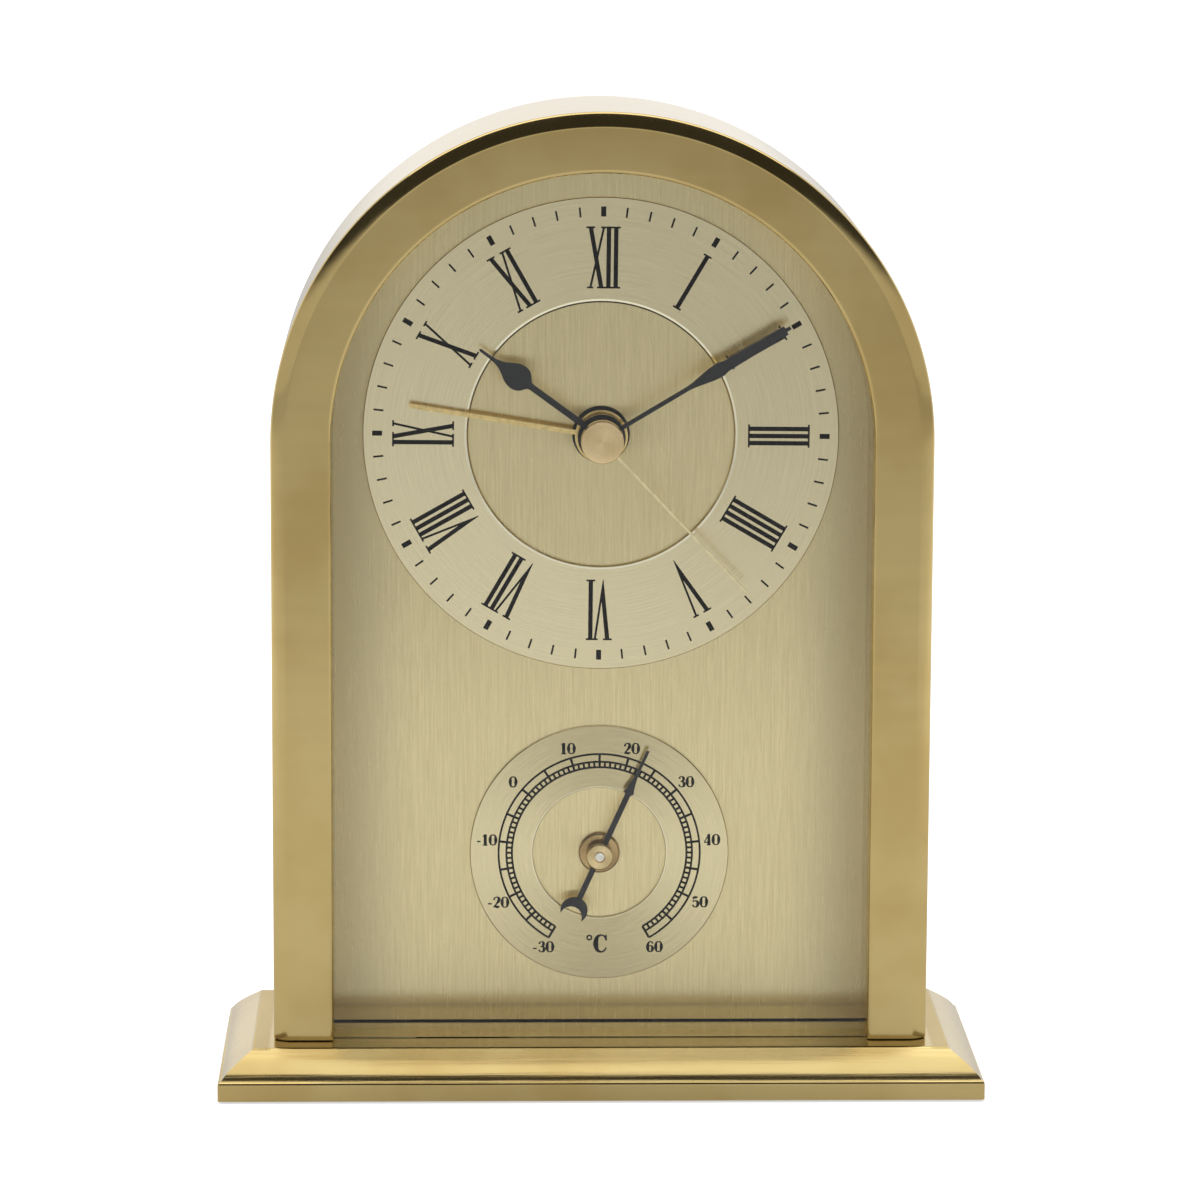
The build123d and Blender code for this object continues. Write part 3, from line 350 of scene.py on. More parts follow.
# the rim is a polished facet, its metal coloured paler than the ring's brass as a painted highlight
rimFinish = {
    "colour": (1.0, 0.95, 0.72),
    "dark": (1.0, 0.91, 0.66),
    "rough": 0.12,
    "roughSpread": 0.1,
    "marks": ((700, 700, 700), 2.0),
    "markEdge": (0.3, 0.7),
}


def makeRim():
    material, start = newTree("brightRim")
    marks = noise(start, *rimFinish["marks"])
    colour = tint(start, marks.step(*rimFinish["markEdge"]), rimFinish["dark"], rimFinish["colour"])
    close(start, colour, rimFinish["rough"] + (marks - 0.5) * rimFinish["roughSpread"], 1.0)
    return material


capFinish = {
    **ringFinish,
    "colour": (0.92, 0.71, 0.40),
    "dark": (0.66, 0.47, 0.225),
    "rough": 0.18,
    "pitch": 6500,
    "wander": 3.0,
    "depth": 0.010 * mm,
    "groove": 0.6,
    "sheen": 0.2,
    "sheenTurn": 0.6,
    "lobes": 2.0,
}
studFinish = {**capFinish, "colour": (0.86, 0.68, 0.37), "dark": (0.50, 0.36, 0.16), "sheen": 0.3}
# painted shade: the bush wears a darker copy of the cap's brass, for its flange in the shade behind the cap
shadedBushFinish = {**capFinish, "colour": (0.62, 0.44, 0.20), "dark": (0.30, 0.19, 0.08), "sheen": 0.3}


paintFinish = {"cloud": ((90, 90, 90), 2.0), "cloudShare": 0.6, "roughSpread": 0.2}
# colour, roughness, grain's fineness and depth, and where it isn't usual the colour's spread and the shine
paints = {
    "handBlack": ((0.020, 0.020, 0.023), 0.42, 5000, 0.004 * mm),
    "ink": ((0.007, 0.006, 0.005), 0.6, 7000, 0.002 * mm, 0.25, 0.1),
    "blackPlastic": ((0.022, 0.022, 0.024), 0.46, 2600, 0.02 * mm),
    "softBlack": ((0.016, 0.016, 0.017), 0.62, 1700, 0.03 * mm),
    "ivoryPlastic": ((0.72, 0.69, 0.60), 0.42, 2200, 0.008 * mm, 0.05),
    "boardGreen": ((0.035, 0.14, 0.055), 0.4, 1500, 0.01 * mm),
    "paleMark": ((0.62, 0.62, 0.60), 0.6, 4000, 0.003 * mm, 0.06),
}


def makePaint(name, colour, rough, grainSize, grainDepth, spread=0.25, shine=0.5):
    # painted or moulded surface with a fine even grain
    material, start = newTree(name)
    grain = noise(start, (grainSize,) * 3, 2.0, 0.6)
    cloud = noise(start, *paintFinish["cloud"])
    share = paintFinish["cloudShare"]
    dark, light = ([c * level for c in colour] for level in (1 - spread, 1 + spread))
    tone = tint(start, cloud * share + grain * (1 - share), dark, light)
    rough = rough + (grain - 0.5) * paintFinish["roughSpread"]
    close(start, tone, rough, 0.0, (grain, grainDepth), {"Specular IOR Level": shine})
    return material


metalFinish = {"shade": 0.82, "lineEdge": (0.3, 0.7), "roughSpread": 0.15, "depth": 0.002 * mm}
# colour, roughness and, for wound wire, the lines' fineness
metals = {
    "goldHand": ((0.95, 0.72, 0.31), 0.24),
    "paleGold": ((1.0, 0.86, 0.51), 0.25),
    "steel": ((0.60, 0.60, 0.61), 0.30),
    "paleSteel": ((0.92, 0.88, 0.79), 0.25),
    "copper": ((0.72, 0.33, 0.16), 0.32, (300, 300, 5200)),
}


def makeMetal(name, colour, rough, grain=(900, 900, 900)):
    material, start = newTree(name)
    lines = noise(start, grain, 3.0, 0.6)
    dark = [c * metalFinish["shade"] for c in colour]
    tone = tint(start, lines.step(*metalFinish["lineEdge"]), dark, colour)
    rough = rough + (lines - 0.5) * metalFinish["roughSpread"]
    close(start, tone, rough, 1.0, (lines, metalFinish["depth"]))
    return material


glassFinish = {
    "colour": (0.985, 0.995, 0.99, 1.0),
    "smear": ((30, 30, 30), 2.0),
    "smearEdge": (0.55, 0.9),
    "smearRough": 0.02,
    "index": 1.3,
}


def makeGlass():
    material, start = newTree("clearGlass")
    smear = noise(start, *glassFinish["smear"]).step(*glassFinish["smearEdge"])
    more = {"IOR": glassFinish["index"], "Transmission Weight": 1.0}
    close(start, glassFinish["colour"], smear * glassFinish["smearRough"], 0.0, None, more)
    return material


feltFinish = {
    "colour": (0.035, 0.11, 0.062),
    "light": (0.075, 0.19, 0.11),
    "rough": 0.95,
    "sheen": 0.35,
    "fibre": ((1500, 600, 1500), 4.0, 0.7),
    "fibreShare": 0.7,
    "fibreEdge": (0.3, 0.7),
    "tuft": ((260, 260, 260), 2.0),
    "depth": 0.22 * mm,
}


def makeFelt():
    material, start = newTree("greenFelt")
    share = feltFinish["fibreShare"]
    tone = noise(start, *feltFinish["fibre"]) * share + noise(start, *feltFinish["tuft"]) * (1 - share)
    colour = tint(start, tone.step(*feltFinish["fibreEdge"]), feltFinish["colour"], feltFinish["light"])
    more = {"Sheen Weight": feltFinish["sheen"]}
    close(start, colour, feltFinish["rough"], 0.0, (tone, feltFinish["depth"]), more)
    return material


cellFinish = {
    "wrap": (0.075, 0.085, 0.105),
    "wrapLight": (0.115, 0.125, 0.15),
    "band": (0.62, 0.64, 0.66),
    "steel": (0.66, 0.66, 0.67),
    "wrapEnds": (-24.7 * mm, 23.3 * mm),
    "bandEnds": (15.5 * mm, 18.5 * mm),
    "blur": 0.05 * mm,
    "film": ((120, 700, 700), 3.0),
    "filmEdge": (0.3, 0.7),
    "filmDepth": 0.01 * mm,
    "rough": 0.28,
    "roughSpread": 0.12,
}


def makeCellWrap():
    # printed film round a steel can, told apart by the distance along the cell
    material, start = newTree("cellWrap")
    x, y, z = objectPlace(start)
    film = noise(start, *cellFinish["film"])

    def between(ends):
        low, high = ends
        blur = cellFinish["blur"]
        return x.step(low, low + blur) * (1 - x.step(high, high + blur))

    wrapped = between(cellFinish["wrapEnds"])
    printed = tint(start, film.step(*cellFinish["filmEdge"]), cellFinish["wrap"], cellFinish["wrapLight"])
    printed = tint(start, between(cellFinish["bandEnds"]), printed, cellFinish["band"])
    colour = tint(start, wrapped, cellFinish["steel"], printed)
    rough = cellFinish["rough"] + film * cellFinish["roughSpread"]
    close(start, colour, rough, 1 - wrapped, (film, cellFinish["filmDepth"]))
    return material


finishes = {
    "polishedBrass": makePolishedBrass(),
    "plinthBrass": makePlinthBrass(),
    "brushedPlate": makeBrushedPlate(),
    "brightRim": makeRim(),
    "clearGlass": makeGlass(),
    "greenFelt": makeFelt(),
    "cellWrap": makeCellWrap(),
}
turnings = {
    "turnedRing": (dialAt, ringFinish),
    "turnedScale": (thermoAt, scaleFinish),
    "turnedCap": (dialAt, capFinish),
    "turnedStud": (thermoAt, studFinish),
    "turnedBush": (thermoAt, shadedBushFinish),
}
for maker, table in ((makeTurnedRing, turnings), (makePaint, paints), (makeMetal, metals)):
    for finishName, values in table.items():
        finishes[finishName] = maker(finishName, *values)
print("materials made:", len(finishes))


# Modelling helpers, all on Blender's own operators
def selectNothing():
    if bpy.context.mode != "OBJECT":
        bpy.ops.object.mode_set(mode="OBJECT")
    bpy.ops.object.select_all(action="DESELECT")


def selectOnly(piece):
    selectNothing()
    piece.select_set(True)
    bpy.context.view_layer.objects.active = piece


def startPiece(name):
    # an empty mesh in edit mode
    selectNothing()
    bpy.ops.mesh.primitive_plane_add(size=mm)
    piece = bpy.context.object
    piece.name = name
    piece.data.name = name
    bpy.ops.object.mode_set(mode="EDIT")
    bpy.ops.mesh.select_mode(type="VERT")
    bpy.ops.mesh.delete(type="VERT")
    return piece


def drawLine(points):
    # a vertex at the first point, extruded through the others
    bpy.ops.mesh.primitive_plane_add(size=mm, location=points[0])
    bpy.ops.mesh.merge(type="CENTER")
    last = Vector(points[0])
    for point in points[1:]:
        bpy.ops.mesh.extrude_vertices_move(TRANSFORM_OT_translate={"value": Vector(point) - last})
        last = Vector(point)


def drawFace(points):
    drawLine(points)
    bpy.ops.mesh.select_linked()
    bpy.ops.mesh.edge_face_add()


def extrudeBy(x, y, z):
    bpy.ops.mesh.extrude_region_move(TRANSFORM_OT_translate={"value": (x, y, z)})


def cleanUp():
    bpy.ops.mesh.select_all(action="SELECT")
    bpy.ops.mesh.remove_doubles(threshold=weld)
    bpy.ops.mesh.normals_make_consistent(inside=False)


def pick(piece, kind, test):
    # selects the faces or edges that pass a test on their place or normal
    bpy.ops.mesh.select_mode(type={"faces": "FACE", "edges": "EDGE"}[kind])
    bpy.ops.mesh.select_all(action="DESELECT")
    mesh = bmesh.from_edit_mesh(piece.data)
    for item in getattr(mesh, kind):
        if test(item):
            item.select_set(True)
    mesh.select_flush_mode()
    bmesh.update_edit_mesh(piece.data)


def edgeMiddle(edge):
    return (edge.verts[0].co + edge.verts[1].co) / 2


def onDial(centre, depth, turn, across, out):
    # a place given across and outward on the dial, turned clockwise by degrees
    angle = math.radians(turn)
    x = centre[0] + across * math.cos(angle) + out * math.sin(angle)
    z = centre[2] - across * math.sin(angle) + out * math.cos(angle)
    return Vector((x, depth, z))


def arcPoints(centre, radius, start, end, steps):
    # points of an arc in the dial's plane, from one turn to another
    turns = [start + (end - start) * step / steps for step in range(steps + 1)]
    return [onDial(centre, centre[1], turn, 0, radius) for turn in turns]


def makeLathe(name, centre, pairs, steps):
    # (radius, depth) pairs drawn beside the dial's axis and spun round it
    piece = startPiece(name)
    drawLine([Vector((centre[0] + radius, depth, centre[2])) for radius, depth in pairs])
    bpy.ops.mesh.select_all(action="SELECT")
    bpy.ops.mesh.spin(steps=steps, angle=math.tau, center=centre, axis=(0, -1, 0))
    cleanUp()
    return piece


def addBlock(name, middle, size, turn=0.0):
    selectNothing()
    bpy.ops.mesh.primitive_cube_add(size=1, location=middle, rotation=(0, turn, 0), scale=size)
    bpy.ops.object.transform_apply(location=True, rotation=True, scale=True)
    block = bpy.context.object
    block.name = name
    return block


def addRod(name, centre, radius, front, back):
    selectNothing()
    middle = (centre[0], (front + back) / 2, centre[2])
    bpy.ops.mesh.primitive_cylinder_add(
        vertices=96, radius=radius, depth=back - front, location=middle, rotation=(math.pi / 2, 0, 0)
    )
    bpy.ops.object.transform_apply(location=True, rotation=True, scale=True)
    rod = bpy.context.object
    rod.name = name
    return rod


def rounded(piece, width, angle=40):
    # softens every edge sharper than the angle
    bpy.ops.object.mode_set(mode="OBJECT")
    soften = piece.modifiers.new("soften", "BEVEL")
    soften.width = width
    soften.segments = 2
    soften.limit_method = "ANGLE"
    soften.angle_limit = math.radians(angle)
    soften.miter_outer = "MITER_ARC"
    bpy.ops.object.modifier_apply(modifier=soften.name)
    bpy.ops.object.mode_set(mode="EDIT")


def combine(piece, tool, operation):
    # boolean with a tool, which is then deleted
    selectOnly(piece)
    mix = piece.modifiers.new("mix", "BOOLEAN")
    mix.operation = operation
    mix.solver = "EXACT"
    mix.object = tool
    bpy.ops.object.modifier_apply(modifier=mix.name)
    selectOnly(tool)
    bpy.ops.object.delete()
    selectOnly(piece)
    bpy.ops.object.mode_set(mode="EDIT")


def joinPieces(piece, others):
    selectOnly(piece)
    for other in others:
        other.select_set(True)
    bpy.ops.object.join()
    bpy.ops.object.mode_set(mode="EDIT")


def finishPiece(piece, body, slot, finish, nodes=(), angle=30):
    selectOnly(piece)
    bpy.ops.object.shade_smooth_by_angle(angle=math.radians(angle))
    even = piece.modifiers.new("even", "WEIGHTED_NORMAL")  # keeps flats flat beside small rounds
    even.keep_sharp = True
    bpy.ops.object.modifier_apply(modifier=even.name)
    piece.data.materials.clear()
    piece.data.materials.append(finishes[finish])
    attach(piece, body)
    if nodes:
        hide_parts(*nodes)
    return piece


def softenedCopy(name, node, body, slot, finish, width):
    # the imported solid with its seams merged, its flats joined and its edges softened
    piece = bpy.data.objects.new(name, frame["nodes"][node].data.copy())
    scene.collection.objects.link(piece)
    selectOnly(piece)
    bpy.ops.object.mode_set(mode="EDIT")
    bpy.ops.mesh.select_all(action="SELECT")
    bpy.ops.mesh.remove_doubles(threshold=2 * weld)
    bpy.ops.mesh.dissolve_limited(angle_limit=math.radians(0.5))
    rounded(piece, width)
    return finishPiece(piece, body, slot, finish, [node])


# Plinth: a band with a bevelled top, hollowed a little below for the felt
plinthSet = {
    "band": 3.0 * mm,
    "slope": 6.0 * mm,
    "ledge": (0.5 * mm, 0.3 * mm),
    "strips": 16,
    "pitch": 34.0,
    "roll": 20.0,
    "edge": 0.34 * mm,
    "top": 0.25 * mm,
    "feltRoom": 0.15 * mm,
}


def slopeLevels(rise):
    # (inset, height) steps up the bevel: a narrow ledge, then a face that rolls over towards its foot
    ledge = Vector(plinthSet["ledge"])
    steps = []
    for strip in range(plinthSet["strips"]):
        share = (strip + 0.5) / plinthSet["strips"]
        pitch = math.radians(plinthSet["pitch"] + plinthSet["roll"] * (1 - share) ** 3)
        steps.append(Vector((math.cos(pitch), math.sin(pitch))))
    reach = sum(steps, Vector((0, 0)))
    grow = ((plinthSet["slope"] - ledge.x) / reach.x, (rise - ledge.y) / reach.y)
    levels = [ledge]
    for step in steps:
        levels.append(levels[-1] + Vector((step.x * grow[0], step.y * grow[1])))
    return levels


def makePlinth():
    low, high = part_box("base_plinth")
    size = high - low
    bandTop = low.z + plinthSet["band"]
    middle = (0, 0, (low.z + bandTop) / 2)
    piece = addBlock("brassPlinth", middle, (size.x, size.y, plinthSet["band"]))
    bpy.ops.object.mode_set(mode="EDIT")
    pick(piece, "faces", lambda face: face.normal.z > 0.9)
    across = Vector((size.x, size.y))
    last = 0.0
    for inset, height in slopeLevels(high.z - bandTop):
        extrudeBy(0, 0, height - last)
        narrowed = Vector((size.x - 2 * inset, size.y - 2 * inset))
        shrink = (narrowed.x / across.x, narrowed.y / across.y, 1)
        bpy.ops.transform.resize(value=shrink, center_override=(0, 0, bandTop + height))
        across = narrowed
        last = height

    def onBand(edge):
        return edgeMiddle(edge).z > low.z + hair and all(v.co.z < bandTop + hair for v in edge.verts)

    pick(piece, "edges", onBand)
    bpy.ops.mesh.bevel(offset=plinthSet["edge"], segments=4, affect="EDGES")
    pick(piece, "edges", lambda edge: all(v.co.z > high.z - hair for v in edge.verts))
    bpy.ops.mesh.bevel(offset=plinthSet["top"], segments=3, affect="EDGES")
    feltLow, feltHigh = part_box("base_felt")
    pick(piece, "faces", lambda face: face.normal.z < -0.9)
    bpy.ops.mesh.inset(thickness=(size.x - (feltHigh.x - feltLow.x)) / 2 - plinthSet["feltRoom"])
    extrudeBy(0, 0, feltHigh.z - low.z)
    cleanUp()
    return finishPiece(piece, "case", "polished_brass", "plinthBrass", ["base_plinth"])


# Arch: the leg's section drawn once, pulled up, spun over the top and pulled down again
archSet = {
    "face": 10.2 * mm,
    "wall": 3.0 * mm,
    "round": 2.6 * mm,
    "roundDepth": 1.4 * mm,
    "roundBow": 11.0,
    "roundSteps": 8,
    "innerEdge": 0.45 * mm,
    "groove": 2.0 * mm,
    "play": 0.1 * mm,
    "steps": 120,
    "soften": 0.3 * mm,
}


def bowedEdge(start, end):
    # an arc between two section points that leaves the straight line by the bow angle
    chord = Vector(end) - Vector(start)
    bow = math.radians(archSet["roundBow"])
    radius = chord.length / 2 / math.sin(bow)
    inward = Vector((-chord.y, chord.x)).normalized()
    middle = Vector(start) + chord / 2 + inward * radius * math.cos(bow)
    points = []
    for step in range(archSet["roundSteps"] + 1):
        turn = bow * (2 * step / archSet["roundSteps"] - 1)
        points.append(middle - radius * (Matrix.Rotation(turn, 2) @ inward))
    return points


def makeArch():
    low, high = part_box("arch_case")
    outer = high.x
    inner = outer - archSet["face"]
    pocket = outer - archSet["wall"]
    glassLow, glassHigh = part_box("front_glass")
    grooveFront = glassLow.y - archSet["play"]
    grooveBack = glassHigh.y + archSet["play"]
    groove = inner + archSet["groove"]
    section = [(inner + archSet["innerEdge"], low.y)]
    section += bowedEdge((outer - archSet["round"], low.y), (outer, low.y + archSet["roundDepth"]))
    section += [(outer, high.y), (pocket, high.y), (pocket, plateFront), (inner, plateFront)]
    section += [(inner, grooveBack), (groove, grooveBack), (groove, grooveFront), (inner, grooveFront)]
    section += [(inner, low.y + archSet["innerEdge"])]
    piece = startPiece("brassArch")
    drawFace([Vector((x, y, low.z)) for x, y in section])
    extrudeBy(0, 0, dialAt.z - low.z)
    bpy.ops.mesh.spin(steps=archSet["steps"], angle=math.pi, center=dialAt, axis=(0, 1, 0))
    extrudeBy(0, 0, low.z - dialAt.z)
    cleanUp()
    rounded(piece, archSet["soften"])
    return finishPiece(piece, "case", "polished_brass", "polishedBrass", ["arch_case"])


def makeArchSheet(name, node, thickness=None, lift=0.0):
    # an arch-shaped sheet at the node's front, as thick as the node unless a thickness is given
    low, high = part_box(node)
    radius = high.x
    top = arcPoints((dialAt.x, low.y, dialAt.z), radius, -90, 90, archSet["steps"])
    feet = [Vector((side * radius, low.y, low.z + lift)) for side in (-1, 1)]
    piece = startPiece(name)
    drawFace([feet[0], *top, feet[1]])
    extrudeBy(0, thickness or high.y - low.y, 0)
    cleanUp()
    return piece


glassSet = {"soften": 0.15 * mm}


def makeGlassPane():
    piece = makeArchSheet("dialGlass", "front_glass")
    rounded(piece, glassSet["soften"])
    return finishPiece(piece, "case", "glass", "clearGlass", ["front_glass"])


plateSet = {"thickness": 0.8 * mm, "hole": 4.9 * mm, "bushHole": 2.65 * mm, "footGap": 0.3 * mm}


def makePlate():
    piece = makeArchSheet("dialPlate", "dial_panel", plateSet["thickness"], plateSet["footGap"])
    for centre, radius in ((dialAt, plateSet["hole"]), (thermoAt, plateSet["bushHole"])):
        hole = addRod("hole", centre, radius, plateFront - mm, plateFront + 2 * mm)
        combine(piece, hole, "DIFFERENCE")
    return finishPiece(piece, "case", "brushed_brass", "brushedPlate", ["dial_panel"])


# facets run from the ring's face to its bore, as shares of the rim's width
ringSet = {"facets": ((1.0, 0.0), (0.45, 0.09), (0.0, 0.5)), "edge": 0.12 * mm, "steps": 192}
# node, centre, inner radius, width of the bright rim, finish
rings = {
    "hourRing": ("chapter_ring", dialAt, 22.6 * mm, 0.62 * mm, "turnedRing"),
    "scaleRing": ("thermometer_ring", thermoAt, 11.45 * mm, 0.2 * mm, "turnedScale"),
}


def makeRing(name, node, centre, inner, rim, finish):
    low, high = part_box(node)
    outer = high.x
    edge = ringSet["edge"]
    front = low.y
    profile = [(inner, high.y)]
    profile += [(inner + rim * out, front + rim * back) for out, back in reversed(ringSet["facets"])]
    profile += [(outer - edge, front), (outer, front + edge), (outer, high.y), (inner, high.y)]
    piece = makeLathe(name, centre, profile, ringSet["steps"])
    finishPiece(piece, "case", "brushed_brass", finish, [node], 5)
    piece.data.materials.append(finishes["brightRim"])
    for face in piece.data.polygons:
        away = face.center - centre
        if math.hypot(away.x, away.z) < inner + rim and face.normal.y < -0.2:
            face.material_index = 1


# Printing: thin raised ink, each shape a face drawn on the ring and pulled forward
inkSet = {"proud": 0.03 * mm, "sink": 0.01 * mm, "lift": 0.004 * mm}


def inkDepth(node):
    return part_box(node)[0].y + inkSet["sink"]


def turnedPlace(centre, depth, turn, shift=0.0):
    # gives the function that takes a mark's own (across, out) to its place on the dial
    return lambda across, out: onDial(centre, depth, turn, across - shift, out)


def inkFace(points, level=0):
    drawFace(points)
    extrudeBy(0, -inkSet["proud"] - inkSet["sink"] - level * inkSet["lift"], 0)
    bpy.ops.mesh.select_linked()


def inkBar(place, start, end, width, level=0):
    # a straight bar between two (across, out) points with ends level to the dial
    half = width / 2
    sides = [(start, -half), (start, half), (end, half), (end, -half)]
    inkFace([place(point[0] + shift, point[1]) for point, shift in sides], level)


figureSet = {
    "inner": 25.0 * mm,
    "outer": 35.5 * mm,
    "thick": 0.75 * mm,
    "thin": 0.38 * mm,
    "serif": 0.30 * mm,
    "thickSerif": 1.50 * mm,
    "thinSerif": 1.03 * mm,
    "turn": 0.4,
    "numerals": ["XII", "I", "II", "III", "IIII", "V", "VI", "VII", "VIII", "IX", "X", "XI"],
    "advance": {"II": 1.23 * mm, "IX": 0.95 * mm, "XI": 3.10 * mm, "VI": 2.93 * mm},
    "crossThick": (0, 1.92 * mm),
    "crossThin": (2.28 * mm, 0.02 * mm),
    "veePoint": 0.83 * mm,
    "veeThin": 2.17 * mm,
    "veeNotch": 0.36,
    "veeLean": 1.3,
    "veeTip": 0.06 * mm,
}


def letterPlaces(numeral):
    places = [0.0]
    for pair in zip(numeral, numeral[1:]):
        places.append(places[-1] + figureSet["advance"]["".join(pair)])
    return places


def letterSerifs(letter, at):
    # serif spans of one letter: at the outer end, then at the inner end
    thick = figureSet["thickSerif"] / 2
    thin = figureSet["thinSerif"] / 2
    if letter == "I":
        return [(at - thick, at + thick)], [(at - thick, at + thick)]
    if letter == "V":
        far = at + figureSet["veeThin"]
        return [(at - thick, at + thick), (far - thin, far + thin)], []
    thickTop, thickFoot = (at + step for step in figureSet["crossThick"])
    thinTop, thinFoot = (at + step for step in figureSet["crossThin"])
    outer = [(thickTop - thick, thickTop + thick), (thinTop - thin, thinTop + thin)]
    return outer, [(thinFoot - thin, thinFoot + thin), (thickFoot - thick, thickFoot + thick)]


def mergedSpans(spans):
    merged = []
    for low, high in sorted(spans):
        if merged and low <= merged[-1][1]:
            merged[-1][1] = max(high, merged[-1][1])
        else:
            merged.append([low, high])
    return merged


def drawLetter(letter, at, place):
    inner = figureSet["inner"]
    outer = figureSet["outer"]
    thick = figureSet["thick"]
    thin = figureSet["thin"]
    if letter == "I":
        inkBar(place, (at, inner), (at, outer), thick)
    if letter == "X":
        top, foot = figureSet["crossThick"]
        inkBar(place, (at + foot, inner), (at + top, outer), thick)
        top, foot = figureSet["crossThin"]
        inkBar(place, (at + foot, inner), (at + top, outer), thin, 1)
    if letter == "V":
        point = at + figureSet["veePoint"]
        far = at + figureSet["veeThin"]
        rise = inner + figureSet["veeNotch"] * (outer - inner)
        lean = figureSet["veePoint"] * (1 - figureSet["veeNotch"]) * figureSet["veeLean"]
        tip = figureSet["veeTip"]
        corners = [(at - thick / 2, outer), (point - tip, inner), (point + tip, inner)]
        corners += [(far + thin / 2, outer), (far - thin / 2, outer)]
        corners += [(at + thick / 2 + lean, rise), (at + thick / 2, outer)]
        inkFace([place(across, out) for across, out in corners])


def makeFigures():
    depth = inkDepth("chapter_ring")
    piece = startPiece("hourFigures")
    for hour, numeral in enumerate(figureSet["numerals"]):
        letters = list(zip(numeral, letterPlaces(numeral)))
        outerSpans = mergedSpans([span for letter in letters for span in letterSerifs(*letter)[0]])
        innerSpans = mergedSpans([span for letter in letters for span in letterSerifs(*letter)[1]])
        ends = outerSpans + innerSpans
        middle = (min(end[0] for end in ends) + max(end[1] for end in ends)) / 2
        place = turnedPlace(dialAt, depth, hour * 30 + figureSet["turn"], middle)
        for letter, at in letters:
            drawLetter(letter, at, place)
        thickness = figureSet["serif"]
        rows = ((outerSpans, figureSet["outer"] - thickness), (innerSpans, figureSet["inner"]))
        for spans, foot in rows:
            for left, right in spans:
                centre = (left + right) / 2
                inkBar(place, (centre, foot), (centre, foot + thickness), right - left, 2)
    cleanUp()
    return finishPiece(piece, "case", "black_hand", "ink")


tickSet = {"inner": 37.2 * mm, "outer": 38.9 * mm, "thin": 0.32 * mm, "bold": 0.86 * mm}


def makeTicks():
    depth = inkDepth("chapter_ring")
    piece = startPiece("minuteTicks")
    for minute in range(5):
        width = tickSet["thin"] if minute else tickSet["bold"]
        place = turnedPlace(dialAt, depth, minute * 6 + figureSet["turn"])
        inkBar(place, (0, tickSet["inner"]), (0, tickSet["outer"]), width)
    bpy.ops.mesh.select_all(action="SELECT")
    bpy.ops.mesh.spin(steps=11, dupli=True, angle=math.radians(330), center=dialAt, axis=(0, -1, 0))
    cleanUp()
    return finishPiece(piece, "case", "black_hand", "ink")


scaleSet = {
    "coldest": -30,
    "hottest": 60,
    "atTop": 15,
    "perDegree": 10 / 3,
    "arcs": (15.05 * mm, 16.0 * mm, 17.35 * mm),
    "arcSteps": 150,
    "line": 0.34 * mm,
    "tick": 0.36 * mm,
    "longTick": 0.40 * mm,
    "figureRadius": 18.95 * mm,
    "figureSpread": 0.6 * mm,
    "figureHeight": 1.95 * mm,
    "figureWeight": 1.25,
    "figureGap": 0.12,
    "unitDrop": 16.1 * mm,
    "unitHeight": 3.2 * mm,
    "unitShift": 0.3 * mm,
    "degreeRing": 0.52 * mm,
    "degreePen": 0.26 * mm,
    "degreeAt": (-1.65 * mm, 1.05 * mm),
}


def scaleTurn(degrees):
    return (degrees - scaleSet["atTop"]) * scaleSet["perDegree"]


def makeScale():
    start = scaleTurn(scaleSet["coldest"])
    span = scaleSet["hottest"] - scaleSet["coldest"]
    sweep = math.radians(span * scaleSet["perDegree"])
    piece = startPiece("scaleMarks")
    place = turnedPlace(thermoAt, inkDepth("thermometer_ring"), start)
    inner, middle, outer = scaleSet["arcs"]
    for count, width, reach, level in ((span, "tick", middle, 1), (span // 5, "longTick", outer, 2)):
        inkBar(place, (0, inner), (0, reach), scaleSet[width], level)
        bpy.ops.mesh.spin(steps=count, dupli=True, angle=sweep, center=thermoAt, axis=(0, -1, 0))
    bpy.ops.mesh.select_all(action="SELECT")
    bpy.ops.mesh.hide()
    for radius in scaleSet["arcs"]:
        drawLine([place(0, radius - scaleSet["line"] / 2), place(0, radius + scaleSet["line"] / 2)])
        bpy.ops.mesh.select_linked()
        bpy.ops.mesh.spin(steps=scaleSet["arcSteps"], angle=sweep, center=thermoAt, axis=(0, -1, 0))
    bpy.ops.mesh.select_all(action="SELECT")
    bpy.ops.mesh.remove_doubles(threshold=weld)
    extrudeBy(0, -inkSet["proud"] - inkSet["sink"], 0)
    bpy.ops.mesh.reveal()
    cleanUp()
    return finishPiece(piece, "case", "black_hand", "ink")


